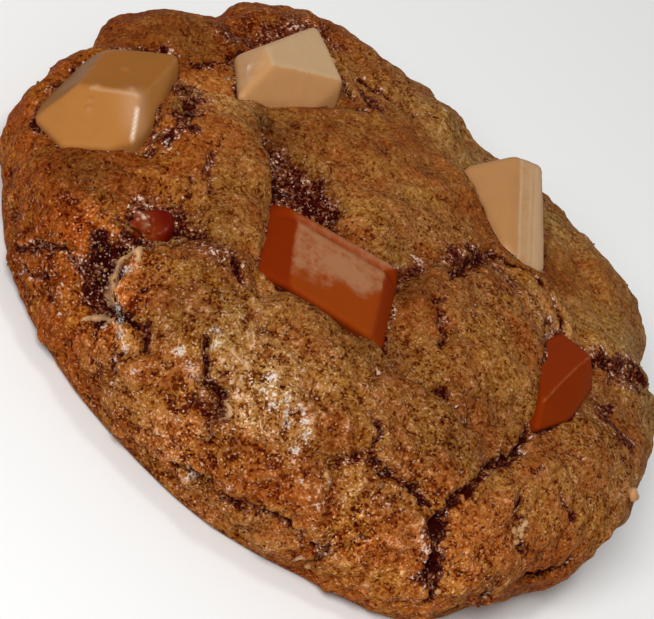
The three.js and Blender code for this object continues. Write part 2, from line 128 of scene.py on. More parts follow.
# outline on the map, depth, width of the sloping edge
PITS = [
    (
        [(-21, -2.5), (-17, -1.5), (-8, -4), (-4, -8), (-3, -11), (-11.5, -14), (-15, -10.5), (-18, -6.5)],
        3.0, 1.6,
    ),
    ([(-27, -33), (-22.5, -31), (-22, -36), (-21, -41), (-22, -45), (-25, -44), (-28, -39)], 1.6, 1.5),
    ([(-27, -25), (-23, -23), (-18, -24), (-17, -27.5), (-20, -31), (-25, -30)], 1.2, 1.4),
]

# ---------- what only the finished crust has ----------

# small cracks: path on the map, half width, depth
FINE_CRACKS = [
    ([(-37, -41), (-34, -41.8), (-31, -41.5)], 0.6, 1.0), ([(-17, -47), (-15.5, -46)], 0.5, 0.8),
    ([(-16.5, -47.5), (-15.5, -49), (-15.3, -51)], 0.6, 1.0),
    ([(-3, -46), (-1, -47.5), (0, -49)], 0.6, 1.0), ([(14, -36.5), (13.5, -38.5), (12.8, -40)], 0.5, 0.9),
    ([(5.5, -5), (4.5, -9), (4.7, -11.5)], 0.7, 1.0), ([(37, -16), (40, -15.8)], 0.4, 0.8),
    ([(39, -32), (42, -31)], 0.6, 1.1), ([(34, -9.5), (35, -8.5)], 0.5, 0.8),
    ([(30.5, -13.5), (32, -13)], 0.5, 0.8), ([(-30, -13), (-29, -15.5)], 0.6, 0.9),
    ([(-22.5, -14.5), (-21.5, -15.5), (-20.5, -18), (-19, -21)], 0.5, 0.8),
    ([(-22, -19.5), (-21, -22.5), (-20.5, -24)], 0.5, 0.8),
    ([(10.5, -50), (13, -49.8), (15, -49)], 0.5, 1.0), ([(7, -53), (9, -52.5), (11, -51)], 0.5, 0.9),
    ([(32, -23.7), (33.3, -25.2), (37.3, -26.2)], 0.45, 0.9), ([(37.8, -16.5), (40.4, -16)], 0.35, 0.8),
    ([(42.4, -18.2), (43.2, -18.8)], 0.5, 0.8), ([(26.1, -25.7), (27.4, -27)], 0.4, 0.6),
    ([(1.5, -54.3), (6.7, -52.5), (12.4, -49.8), (20.1, -48.2)], 0.5, 0.9),
    ([(44.6, -24.9), (47, -19.7), (46.8, -16.1)], 0.9, 1.5),
    ([(-11.6, 11.2), (-13.5, 8.5), (-14.5, 5)], 0.5, 0.6),
    ([(9.3, -9.9), (11, -12.2), (12.5, -13.5)], 0.6, 0.8), ([(-25, -49.6), (-18.7, -54)], 0.5, 0.6),
    ([(-33, -40), (-30, -43.5), (-26, -45.5)], 0.5, 0.7), ([(-10.4, -55.7), (-3.7, -56.1)], 0.6, 0.9),
]
CRACK_NARROWER = 0.62  # the finished cracks, beside the coarser ones of the solid

# patches of bared, darker crumb: path on the map, half width, strength
STAINS = [
    ([(7.5, -1.5), (8.5, 1.5), (10.8, 5.6)], 1.5, 0.75),
    ([(3.6, -10.3), (4.4, -7.2), (5.4, -4.5)], 1.2, 0.6),
    ([(13, 5.6), (16, 5.6), (19.2, 5.3), (22, 3)], 1.3, 0.55),
    ([(9.3, -9.9), (11, -12.2), (12.5, -13.5)], 0.9, 0.6), ([(5, -15), (6, -15.3)], 0.8, 0.5),
    ([(-33, 15), (-29, 22), (-22, 27)], 3.0, 0.6),
    ([(-31.6, -2.9), (-28.4, -7.7), (-26.6, -13.7), (-27.4, -17.2)], 1.7, 0.85),
    ([(-14, 21.4), (-11, 19.4)], 1.4, 0.7), ([(27.5, 7), (30, 10), (36.1, 16.7)], 2.2, 0.8),
    ([(32.9, 1.3), (35.6, 1.4), (40, 1)], 1.2, 0.7), ([(23, -34), (28.5, -37.2), (31.6, -39.3)], 1.2, 0.55),
    # the first stain below is a painted shadow line along the near edge of the dark centre piece
    ([(-6.5, -25.8), (-2.8, -25.2), (1.5, -24)], 0.5, 0.9), ([(26, -23), (29.5, -16)], 1.4, 0.45),
    ([(-23, -30), (-15, -28), (-10, -30)], 2.2, 0.5), ([(-5, -44), (-2, -46), (2, -47)], 2.4, 0.5),
    ([(-29, -43), (-33, -38)], 2.4, 0.4), ([(14, -44), (19, -47)], 2.0, 0.35),
    ([(-38, -40), (-34, -45)], 2.2, 0.4), ([(22, -20), (16, -19)], 1.3, 0.45),
    ([(-40, 0), (-42, -4)], 1.5, 0.5), ([(-22.3, -15), (-21.5, -16), (-20.7, -18.5)], 0.5, 0.8),
    ([(31.6, -23.6), (33.7, -24.2), (35.7, -25.9), (37.3, -25.7)], 0.45, 0.95),
    ([(37.8, -16.1), (40.3, -16)], 0.4, 1), ([(42.5, -18.4), (43, -18.6)], 0.5, 0.95),
    ([(37.6, -32.3), (38.2, -32.5)], 0.7, 0.85), ([(32, -18.4), (32.6, -18)], 0.5, 0.9),
    ([(24.9, -23.4), (26.6, -22.1), (29.5, -17.8), (30.4, -15.7)], 0.6, 0.45),
    ([(33.8, 4), (35.9, 2.4), (39, 2)], 1.2, 0.85), ([(30, 9), (33, 10.1), (35, 12)], 1.8, 0.6),
    ([(23.7, -29.5), (24.6, -32.6), (26.8, -34.7), (29.3, -37.6), (31.7, -39.4)], 0.7, 0.35),
]

# patches of the crust: place on the map, radius, how much lighter (in part painted light and shade), how much
# more broken up
PATCHES = [
    (-4, 12, 14, 0, -0.3), (-19, -12, 9, -0.15, -0.05), (-30, -32, 9, -0.25, 0.1), (-38, 6, 13, -0.5, -0.2),
    (10, 1, 8, -0.35, 0.3), (4, -24, 7, -0.5, 0.1), (1.5, -40, 6, 0.5, 0.55), (19, -41, 8, 0.2, 0.6),
    (-2, -52, 8, 0.1, 0.6), (36, -29, 8, 0.2, 0.25), (36, -6, 9, -0.1, 0.15), (25, 14, 9, 0.3, 0),
    (-20, -44, 7, 0, 0.35), (-38, -40, 9, -0.15, 0.1), (19, -25, 6, -0.3, 0.2), (-30, 22, 8, -0.3, 0.5),
    (-28.5, -3.5, 5.5, 0.9, 0), (5, -11, 5, -0.6, 0), (33, 2, 5, -0.6, 0.1), (1, -49, 4, -0.55, 0),
    (12, -39, 5, -0.55, 0), (-14, -39, 4, -0.75, 0), (-14, -29, 4, -0.75, 0), (-19, -43, 3.5, 0.6, 0),
    (-33, -27, 5, -0.8, 0), (21, 6, 4, 0.9, 0), (34, -41, 6, 0.8, -0.1), (-14, 6, 5, -0.3, 0),
    (19, -48, 9, 0.35, -0.1), (-12, -5, 4, -0.6, 0), (40, -22, 8, 0.4, 0), (-27, -35, 5, 0.7, 0),
    (25, 22, 13, 0, -0.35), (28, -32, 4.5, 0.5, 0), (-20, -2, 4.5, -1, 0), (11, -21, 4.5, -0.45, 0.1),
    (22, -26, 4, -0.4, 0.1), (24, -15, 4.5, -0.45, 0.1), (-16, -47, 4, -0.35, 0), (-19, -42.5, 4, 0.6, 0.1),
    (-24, -33, 4, 0.4, 0), (18, 17, 6, -0.7, 0), (26, -31, 4, 0.4, 0), (4, -8, 4, -0.4, 0),
    (-3, -52, 6, 0.35, 0), (-25, -8, 5, 0.4, 0), (-30, 1, 5, 0.5, 0), (16, -54, 6, 0.2, 0),
    (-21, -37, 3, 0.4, 0), (22, -36, 4, -0.4, 0), (-17, -23, 4, -0.4, 0), (-25.5, -31, 3, 0.5, 0),
]

# patches of another hue: place on the map, radius, how much yellower (redder below 0); the one at (1, -40)
# also paints a paler sheen over the near front
HUES = [
    (-28, -4, 7, 1.5), (-38, 8, 6, 0.7), (-34, 14, 5, 0.3), (34, 2, 5, -0.4), (29, 8, 5, -0.8),
    (43, 6, 6, -1.2), (1, -49, 4.5, -0.9), (12, -39, 5, -0.4), (-14, -39, 4, -0.4), (-13, -30, 5, -0.4),
    (-14, 7, 6, -0.3), (1, -40, 6, 0.9), (8, -14, 5, -0.4), (18, 18, 7, -1.5), (24, 26, 6, -0.6),
    (16, -54, 6, 0.8), (21, 6, 4.5, 1), (6, -54, 5, 0.5), (-3, -53, 6, 0.4), (-8, -35, 5, 0.6),
    (0, 0, 6, 0.3), (-29, -27, 6, 0.5),
]

# small holes: place on the map, radius, depth
HOLES = [
    (9.5, -27, 0.6, 0.9), (8.7, -31.5, 0.5, 0.7), (3.4, -29, 0.45, 0.6), (21.3, -33.5, 0.6, 0.8),
    (22.3, -43, 0.6, 0.9), (-13, -29.5, 0.5, 0.7), (-21, -31.5, 0.7, 1.0), (-2.2, -41.5, 0.5, 0.6),
    (-17.5, -38.5, 0.6, 0.8), (16.9, 0.5, 0.4, 0.6), (-4, 12, 0.5, 0.6), (4, -2, 0.4, 0.5),
]

# smears of melted milk chocolate: path on the map, half width, rise
SMEARS = [
    ([(-20.3, -35.8), (-21.3, -34.2)], 0.5, 0.45),
    ([(-21.4, -34.1), (-22.9, -34.6), (-23.1, -36.5), (-22.4, -39.2), (-21.7, -40.8)], 1.05, 0.65),
    ([(-23.2, -44.7), (-20.7, -43.6), (-19, -43.1)], 0.5, 0.4),
    ([(-5, -38.6), (-3.6, -39.2), (-2.4, -39)], 0.45, 0.15), ([(-2.2, -40.2), (-1.4, -41.2)], 0.35, 0.15),
    ([(-1.4, -43.4), (-0.7, -44.8)], 0.45, 0.3), ([(20.4, -52.8), (19.8, -50.8)], 0.4, 0.35),
    ([(34.6, -26), (35.2, -24.9), (34.2, -24.1)], 0.42, 0.5), ([(43, -3.4), (44.2, -2.4)], 0.7, 0.6),
    ([(22.5, -51.5), (23.4, -51.8)], 0.4, 0.3), ([(33, -37.5), (33.6, -38.2)], 0.35, 0.3),
    ([(-19.5, 22.5), (-20.5, 24)], 0.5, 0.3),
]

# clusters of painted glints, bright highlights painted on the moist near side: place on the map, radius
GLINTS = [
    (3.3, -39.2, 0.9), (4.2, -40.1, 0.9), (5.1, -40.9, 0.8), (5.6, -38.7, 0.7), (6.6, -39.4, 0.8),
    (7.8, -40.3, 0.9), (8, -42.2, 0.8), (2.4, -40.7, 0.8), (0.5, -38.6, 0.9), (0.6, -40, 0.8),
    (-8.1, -38.1, 1.0), (-6.9, -39.6, 0.8), (-20.9, -37, 1.1), (-20.4, -39.4, 0.6), (-19.4, -41.5, 0.8),
    (-18.4, -42.8, 0.9), (-17.3, -44.2, 1.2), (-15.7, -45.4, 0.9), (-9.9, -42.4, 1.0), (-8, -43.1, 0.9),
    (-6.7, -43.7, 0.7), (0.8, -54, 0.9), (-5.2, -48.7, 0.6), (13.5, -42, 0.6), (10.9, -44.3, 0.6),
    (-27, -16.5, 0.6), (-13, -47, 0.6), (17, -42, 0.5), (21, -37.6, 0.5), (-2, -56, 0.8),
]

# small bits of milk chocolate on the crust: place on the map, size
BITS = [
    (34.2, -25.6, 0.55), (34.9, -26.4, 0.5), (35.4, -25, 0.45), (43.4, -3.2, 0.8), (44, -2.4, 0.6),
    (22.9, -51.6, 0.5), (12.8, -41.7, 0.45), (-2.1, -41, 0.4), (-19.4, 22.8, 0.5), (33.3, -37.8, 0.4),
]


def colour_choice(name, description, default):
    """A colour that a user can change."""
    return FloatVectorProperty(
        name=name, description=description, default=default, subtype="COLOR", min=0, max=1
    )


def number_choice(name, description, default, unit="NONE", low=0, high=100):
    """A size, angle or strength that a user can change."""
    return FloatProperty(
        name=name, description=description, default=default, unit=unit, min=low, max=high, precision=5
    )


class CookieCrust(bpy.types.PropertyGroup):
    """Size and colours of the crust."""

    spacing: number_choice("Mesh spacing", "Distance between vertices", 0.37 * MM, "LENGTH", 0.2 * MM, 3 * MM)
    grain: number_choice("Grain height", "Height of the crust's coarse grain", 0.22 * MM, "LENGTH", 0, 1 * MM)
    light: colour_choice("Light crust", "Colour of the dry, golden-brown parts", (0.43, 0.18, 0.05))
    mid: colour_choice("Mid crust", "Colour of most of the crust", (0.308, 0.116, 0.0225))
    red: colour_choice("Red-brown crust", "Colour of the darker baked patches", (0.215, 0.052, 0.007))
    crevice: colour_choice("Crevice", "Colour of the moist crumb down in the cracks", (0.032, 0.002, 0.001))
    smear: colour_choice("Smear", "Colour of smeared milk chocolate", (0.58, 0.33, 0.16))
    # also the colour of the painted sparkle highlights on the crust
    sparkle: colour_choice("Sparkle", "Colour of the brightest grains", (0.7, 0.42, 0.25))


class CookieChocolate(bpy.types.PropertyGroup):
    """Fineness and colours of the cut chocolate pieces."""

    detail: IntProperty(
        name="Detail", description="Number of times each piece's mesh is divided", default=6, min=3, max=7
    )
    milk: colour_choice("Milk chocolate", "Colour of the warm milk chocolate's top", (0.285, 0.1, 0.014))
    # milk_lit: painted light, the lighter colour of the left milk piece's front and right sides
    milk_lit: colour_choice("Milk chocolate, painted_lit", "Colour of its lighter cut sides", (0.35, 0.14, 0.032))
    pale: colour_choice("Pale chocolate", "Colour of the pale chocolate's sides", (0.44, 0.215, 0.08))
    # pale_top: painted reflection, the greyer top of the back milk piece; also the lighter strip of the right
    # one
    pale_top: colour_choice("Pale chocolate, top", "Colour of its greyer top", (0.46, 0.29, 0.15))
    dark: colour_choice("Dark chocolate", "Colour of the darker chocolate's top", (0.235, 0.037, 0.003))
    # bloom: also the colour of the painted highlight along the darker right piece's ridge
    bloom: colour_choice("Bloom", "Colour of the dull film on the darker chocolate", (0.31, 0.13, 0.058))
    # deep: partly the darker pieces' own colour, partly painted shade on their slanted sides and grooves
    deep: colour_choice("Dark chocolate, sides", "Colour of its slanted sides", (0.175, 0.017, 0.001))


class CookieStage(bpy.types.PropertyGroup):
    """Floor, light and camera."""

    floor: colour_choice("Floor", "Colour of the floor", (0.86, 0.86, 0.85))
    distance: number_choice("Camera distance", "From the cookie's middle to it", 0.5, "LENGTH", 0.2, 5)
    elevation: number_choice("Camera elevation", "Its angle above the horizon", math.radians(33), "ROTATION")
    roll: number_choice("Camera roll", "Its turn about its line of sight", math.radians(40.35), "ROTATION")
    sky: number_choice("Surrounding light", "Strength of the even light from all round", 0.3)
    front: number_choice("Front light", "Power of the large light over the near side", 4.3, "POWER")
    top: number_choice("Top light", "Power of the light straight above the cookie", 0.7, "POWER")
    back: number_choice("Back light", "Power of the light behind the cookie", 0.25, "POWER")


# ---------- small maths ----------


def smooth(value):
    value = np.clip(value, 0, 1)
    return value * value * (3 - 2 * value)


def ripple(x, y, wave, seed):
    """A soft random-looking wave, about -1 to 1: sines in golden-angle directions."""
    count = 9
    total = np.zeros_like(x)
    for n in range(count):
        angle = n * GOLDEN_ANGLE + seed
        pitch = 2 * math.pi / wave * (0.75 + 0.5 * ((n * 0.618 + seed) % 1))
        total += np.sin(pitch * (x * math.cos(angle) + y * math.sin(angle)) + n * n * 1.7 + seed * 5)
    return total / math.sqrt(count) / 1.2


def wander(x, y, waves):
    """Places moved about by soft waves, each with a reach, a wave length and a seed for x and for y."""
    moved_x, moved_y = x, y
    for reach, wave, seed_x, seed_y in waves:
        moved_x = moved_x + reach * ripple(x, y, wave, seed_x)
        moved_y = moved_y + reach * ripple(x, y, wave, seed_y)
    return moved_x, moved_y


def distance_to_path(x, y, path):
    nearest = np.full(x.shape, 1e9)
    for (ax, ay), (bx, by) in zip(path[:-1], path[1:]):
        dx, dy = bx - ax, by - ay
        along = np.clip(((x - ax) * dx + (y - ay) * dy) / (dx * dx + dy * dy), 0, 1)
        nearest = np.minimum(nearest, np.hypot(x - ax - along * dx, y - ay - along * dy))
    return nearest


def band(x, y, path, half):
    """1 along a path, fading to 0 beyond its half width."""
    return np.exp(-((distance_to_path(x, y, path) / half) ** 2))


def spot(x, y, ax, ay, radius):
    """1 at a place, fading to 0 beyond a radius."""
    return np.exp(-((x - ax) ** 2 + (y - ay) ** 2) / radius**2)


def depth_inside(x, y, outline):
    """Distance to an outline, positive inside it."""
    edge = distance_to_path(x, y, outline + outline[:1])
    inside = np.zeros(x.shape, bool)
    for (ax, ay), (bx, by) in zip(outline, outline[1:] + outline[:1]):
        if ay != by:
            inside ^= ((ay > y) != (by > y)) & (x < (bx - ax) * (y - ay) / (by - ay) + ax)
    return np.where(inside, edge, -edge)


def soft_minimum(a, b, soft):
    return -soft * np.logaddexp(-a / soft, -b / soft)


def noise_at(points, wave, seed):
    """Smooth noise, about -1 to 1, at rows of millimetres."""
    scaled = points / wave + seed * 17.3
    return np.array([noise.noise(p) for p in scaled])


def cells_at(points, wave, seed):
    """Distance to the nearest seed of a scatter of cells, about 0 to 1."""
    scaled = points / wave + seed * 11.9
    return np.array([noise.voronoi(p)[0][0] for p in scaled])


# ---------- the smooth dome ----------


def dome_section():
    """Radius, height and length along the section, from the top's centre to the base edge."""
    steps = 300
    a = np.linspace(0, math.pi / 2, steps + 1)
    radius = COOKIE_RADIUS * np.sin(a) ** (2 / DOME_ROUND)
    height = WIDEST_AT + (COOKIE_HEIGHT - WIDEST_AT) * np.cos(a).clip(0) ** (2 / DOME_CROWN)
    b = np.linspace(0, math.pi / 2, steps // 3 + 1)[1:]
    overhang = COOKIE_RADIUS - BASE_RADIUS
    radius = np.append(radius, BASE_RADIUS + overhang * np.cos(b).clip(0) ** (2 / SIDE_ROUND))
    height = np.append(height, WIDEST_AT - WIDEST_AT * np.sin(b) ** (2 / SIDE_ROUND))
    length = np.append(0, np.cumsum(np.hypot(np.diff(radius), np.diff(height))))
    return radius, height, length, steps + 1


SECTION_RADIUS, SECTION_HEIGHT, SECTION_LENGTHS, TOP_ROWS = dome_section()
SECTION_LENGTH = SECTION_LENGTHS[-1]


def on_section(length):
    return (
        np.interp(length, SECTION_LENGTHS, SECTION_RADIUS),
        np.interp(length, SECTION_LENGTHS, SECTION_HEIGHT),
    )


def outline_factor(bearing):
    """How much the outline stands out, as a factor on the radius."""
    factor = 1 + 0.003 * np.cos(9 * bearing + 0.6) + 0.002 * np.cos(14 * bearing + 2)
    for centre, half, outward in OUTLINE_BULGES:
        away = (np.degrees(bearing) - centre + 180) % 360 - 180
        factor = factor + outward / COOKIE_RADIUS * np.exp(-((away / half) ** 2))
    return factor


def unroll(x, y):
    """Map coordinates of a place on the dome, from its plan coordinates."""
    bearing = math.atan2(y, x)
    radius = min(math.hypot(x, y) / float(outline_factor(bearing)), 0.999 * COOKIE_RADIUS)
    length = float(np.interp(radius, SECTION_RADIUS[:TOP_ROWS], SECTION_LENGTHS[:TOP_ROWS]))
    return length * math.cos(bearing), length * math.sin(bearing)


def crust_points(x, y, height):
    """Places in millimetres at a height over the dome, from map coordinates."""
    probe = 0.6
    full_outline_at = 30
    fades_below = 2.5
    length = np.hypot(x, y)
    bearing = np.arctan2(y, x)
    radius, level = on_section(length)
    before = on_section(length - probe)
    after = on_section(length + probe)
    slope = np.hypot(after[0] - before[0], after[1] - before[1])
    outward = (before[1] - after[1]) / slope
    upward = (after[0] - before[0]) / slope
    raised = height * smooth(level / fades_below)
    factor = 1 + (outline_factor(bearing) - 1) * smooth(length / full_outline_at)
    reach = radius * factor + outward * raised
    return np.stack([reach * np.cos(bearing), reach * np.sin(bearing), level + upward * raised], -1)


# ---------- the cut chocolate pieces, as in their solids ----------

# each piece's upper corners, widest corners, seat in the dough (depth, slope, tilt) and softness of edges
CHUNKS = {
    "milk_chunk_left": {
        "crown": [(-40.3, -4.4, 17.3), (-33.7, -0.8, 20.5), (-33.4, -15.1, 21.7), (-39.8, -16.3, 17.7)],
        "waist": [
            (-41.5, -6.5, 15.2), (-32.8, -1.2, 19.6), (-30.2, -14.6, 19.7), (-30.1, -19.3, 19.2),
            (-31.8, -22.2, 17.9), (-36.1, -23.7, 15.1), (-41, -19.4, 12.9), (-41.5, -17.2, 13),
        ],
        "seat": (-0.3, 1.2, (0, 0)),
        "soft": 0.15,
    },
    "milk_chunk_back": {
        "crown": [(-24.3, 5.4, 24.6), (-16.8, 13.2, 24.4), (-23.7, 19.2, 24.4), (-26.3, 7.7, 24.5)],
        "waist": [
            (-28.5, 8.4, 20.1), (-24.6, 0.4, 21), (-17.1, 9.8, 21.7), (-15.7, 13.1, 21.8), (-24.6, 21, 20.5),
        ],
        "seat": (-1, 0.7, (0, 0)),
        "soft": 0.09,
    },
    "milk_chunk_right": {
        "crown": [(5.8, 25.4, 25), (7.1, 26.4, 25.2), (9.1, 27.9, 24.9)],
        "waist": [
            (2.2, 22, 21.4), (11.7, 12.9, 22.1), (13.8, 12.5, 21.9), (17.4, 14.8, 21.3), (13, 29, 18.5),
            (4, 29, 19),
        ],
        "seat": (-1.1, 0.6, (0, 0)),
        "soft": 0.09,
    },
    "dark_chunk_centre": {
        "crown": [(-9.6, -14.7, 22.6), (2.5, -11.4, 23), (5.9, -22.7, 21.9), (-5.1, -25.2, 21.5)],
        "waist": [(-12.9, -13.2, 21), (3.7, -8, 21.8), (8, -21.6, 20.9), (-8.9, -24.9, 20.2)],
        "seat": (-1.4, 1.1, (0.02, -0.1)),
        "soft": 0.12,
    },
    "dark_chunk_right": {
        "crown": [(28.5, 6.1, 21.7), (27, -8.5, 21.4)],
        "waist": [
            (24.2, 6.3, 21.3), (22.8, 1, 21.6), (26.2, -6, 21), (28.5, -11.4, 19.8), (31, -4.7, 19.7),
            (31, 3.9, 19.7),
        ],
        "seat": (-0.55, 0.8, (-0.17, 0)),
        "soft": 0.1,
    },
    "dark_chunk_sunken": {
        "crown": [
            (-24.6, -26.3, 18), (-21.2, -24.8, 19), (-19.6, -26.9, 18.8), (-21, -29, 18),
            (-23.9, -28.8, 17.4),
        ],
        "waist": [
            (-25.5, -26.3, 16.4), (-20.5, -24, 17.4), (-18.9, -27, 17.4), (-21, -30, 16.4),
            (-24.5, -29.5, 16),
        ],
        "seat": (-1.9, 0.8, (0, 0)),
        "soft": 0.3,
    },
}
CHUNK_EDGE = 0.5
CHUNK_DEPTH = 6.0
CHUNK_LEAN = 0.9
SOFT_CORNER_REACH = 0.8507  # how far the solid's softened corner reaches along an axis, per radius

# ---------- the relief ----------


def swell_height(x, y):
    x, y = wander(x, y, SWELL_WAVES)
    total = np.full(x.shape, math.exp(SWELL_FLOOR / SWELL_SOFT))
    for ax, ay, half_length, half_width, turn, rise in SWELLS:
        c, s = math.cos(math.radians(turn)), math.sin(math.radians(turn))
        dx, dy = x - ax, y - ay
        reach = ((dx * c + dy * s) / half_length) ** 2 + ((dy * c - dx * s) / half_width) ** 2
        total += np.exp(np.maximum(rise - SWELL_DROP * reach * reach, -40) / SWELL_SOFT)
    return SWELL_SOFT * np.log(total)


def crack_depth(x, y, cracks):
    """Depth in the cracks, whose sides wander and whose width comes and goes."""
    bent = wander(x, y, CRACK_WAVES)
    width = np.clip(0.85 + 0.4 * ripple(x, y, 3.7, 9.1), 0.4, 1.4)
    depth = np.zeros_like(x)
    for path, half, deep in cracks:
        away = distance_to_path(*bent, path) / (half * width)
        depth = np.maximum(depth, deep * np.exp(-1.1 * away**2))
    return depth


def hole_depth(x, y):
    depth = np.zeros_like(x)
    for ax, ay, radius, deep in HOLES:
        away = np.hypot(x - ax, y - ay) / radius * (1 + 0.3 * ripple(x, y, 1.3, ax))
        depth = np.maximum(depth, deep * np.exp(-(away**2)))
    return depth


def smear_cover(x, y):
    """How fully a smear covers the crust, and how far it stands up."""
    bent = wander(x, y, SMEAR_WAVES)
    cover, height = np.zeros_like(x), np.zeros_like(x)
    for path, half, rise in SMEARS:
        near = band(*bent, path, half)
        cover = np.maximum(cover, near)
        height = np.maximum(height, rise * smooth(near * 1.6))
    return cover, height


def pit_depth(x, y):
    x, y = wander(x, y, PIT_WAVES)
    depth = np.zeros_like(x)
    for outline, deep, edge in PITS:
        depth += deep * smooth((depth_inside(x, y, outline) + 0.4 * edge) / edge)
    return depth


def chunk_outline(chunk):
    """A cut piece's outline on the map."""
    return [unroll(x, y) for x, y, _ in chunk["waist"]]


def relief(x, y):
    """The crust's height over the dome and what marks it, at places on the map."""
    seat_room, seat_soft = 0.2, 0.25
    narrowed = [(path, half * CRACK_NARROWER, deep) for path, half, deep in CRACKS]
    marks = {"cracks": np.maximum(crack_depth(x, y, narrowed + FINE_CRACKS), hole_depth(x, y))}
    marks["pits"] = pit_depth(x, y)
    marks["smear"], raised = smear_cover(x, y)
    marks["clear"] = np.full(x.shape, 1e9)
    height = swell_height(x, y) - marks["cracks"] - marks["pits"] + raised
    for chunk in CHUNKS.values():
        depth, slope, tilt = chunk["seat"]
        outline = chunk_outline(chunk)
        middle = np.mean(outline, 0)
        outside = np.maximum(0, -depth_inside(x, y, outline) - seat_room)
        level = depth + tilt[0] * (x - middle[0]) + tilt[1] * (y - middle[1])
        height = soft_minimum(height, level + slope * outside, seat_soft)
        marks["clear"] = np.minimum(marks["clear"], outside)
    return height + 0.35 * ripple(x, y, 9, 5) + 0.12 * ripple(x, y, 4.2, 6), marks


# ---------- meshes ----------


def stitch(first_inner, inner, first_outer, outer):
    """Triangles between two rings of vertices."""
    triangles = []
    i = j = 0
    while i < inner or j < outer:
        a, b = first_inner + i % inner, first_outer + j % outer
        if i >= inner or (j < outer and (j + 0.5) / outer <= (i + 0.5) / inner):
            triangles.append((a, b, first_outer + (j + 1) % outer))
            j += 1
        else:
            triangles.append((a, b, first_inner + (i + 1) % inner))
            i += 1
    return [t for t in triangles if len(set(t)) == 3]


def bearings_round(radius, spacing):
    """Even bearings round a ring, about a spacing apart."""
    count = max(6, int(round(2 * math.pi * radius / spacing)))
    return np.arange(count) / count * 2 * math.pi


def ring_map(spacing):
    """Map coordinates of rings of vertices over the whole crust, and each ring's size."""
    rows = int(round(SECTION_LENGTH / spacing))
    x, y, counts = [np.zeros(1)], [np.zeros(1)], [1]
    for row in range(1, rows + 1):
        length = SECTION_LENGTH * row / rows
        bearing = bearings_round(float(on_section(length)[0]), spacing)
        x.append(length * np.cos(bearing))
        y.append(length * np.sin(bearing))
        counts.append(len(bearing))
    return np.concatenate(x), np.concatenate(y), counts


def base_rings(edge, spacing):
    """Rings of points on the flat base, from its edge inwards."""
    rows = int(round(BASE_RADIUS / spacing))
    edge_bearings = np.arange(len(edge)) / len(edge) * 2 * math.pi
    rings = []
    for inward in 1 - np.arange(1, rows) / rows:
        bearing = bearings_round(BASE_RADIUS * inward, spacing)
        reach = np.interp(bearing, edge_bearings, np.hypot(edge[:, 0], edge[:, 1]), period=2 * math.pi)
        rings.append(inward * np.stack([reach * np.cos(bearing), reach * np.sin(bearing), 0 * bearing], -1))
    return [*rings, np.zeros((1, 3))]


def recentre():
    """The move from the dome's own axis to the middle of the cookie's box, in millimetres."""
    corners = CHUNKS["dark_chunk_centre"]["crown"] + CHUNKS["dark_chunk_centre"]["waist"]
    low = np.min(corners, 0)[:2] - CHUNK_EDGE * SOFT_CORNER_REACH
    return np.append(np.array(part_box("dark_chunk_centre")[0])[:2] / MM - low, 0)


SHIFT = recentre()


def add_object(name, data):
    made = bpy.data.objects.new(name, data)
    bpy.context.scene.collection.objects.link(made)
    return made


def add_mesh(name, points, faces, slot, replaced):
    """Puts millimetre points into the scene as a smooth-shaded piece that stands for a solid."""
    mesh = bpy.data.meshes.new(name)
    mesh.from_pydata(((points + SHIFT) * MM).tolist(), [], faces)
    mesh.update()
    mesh.shade_smooth()
    piece = add_object(name, mesh)
    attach(piece, "root")
    if replaced:
        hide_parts(replaced)
    return piece


def add_attribute(piece, name, values):
    attribute = piece.data.attributes.new(name, "FLOAT", "POINT")
    attribute.data.foreach_set("value", np.asarray(values, np.float32))


# ---------- shader building ----------


class Socket:
    """A number in a material's node tree. Arithmetic on it adds Math nodes."""

    def __init__(self, paint, socket):
        self.paint = paint
        self.socket = socket

    def maths(self, operation, first, second):
        return self.paint.node("ShaderNodeMath", {"operation": operation}, {0: first, 1: second})["Value"]

    def __add__(self, other):
        return self.maths("ADD", self, other)

    def __radd__(self, other):
        return self.maths("ADD", other, self)

    def __sub__(self, other):
        return self.maths("SUBTRACT", self, other)

    def __rsub__(self, other):
        return self.maths("SUBTRACT", other, self)

    def __mul__(self, other):
        return self.maths("MULTIPLY", self, other)

    def __rmul__(self, other):
        return self.maths("MULTIPLY", other, self)

    def at_least(self, other):
        return self.maths("MAXIMUM", self, other)

    def ramp(self, low, high):
        """0 below low, 1 above high, and smooth between them."""
        values = {"Value": self, "From Min": low, "From Max": high}
        return self.paint.node("ShaderNodeMapRange", {"interpolation_type": "SMOOTHSTEP"}, values)["Result"]


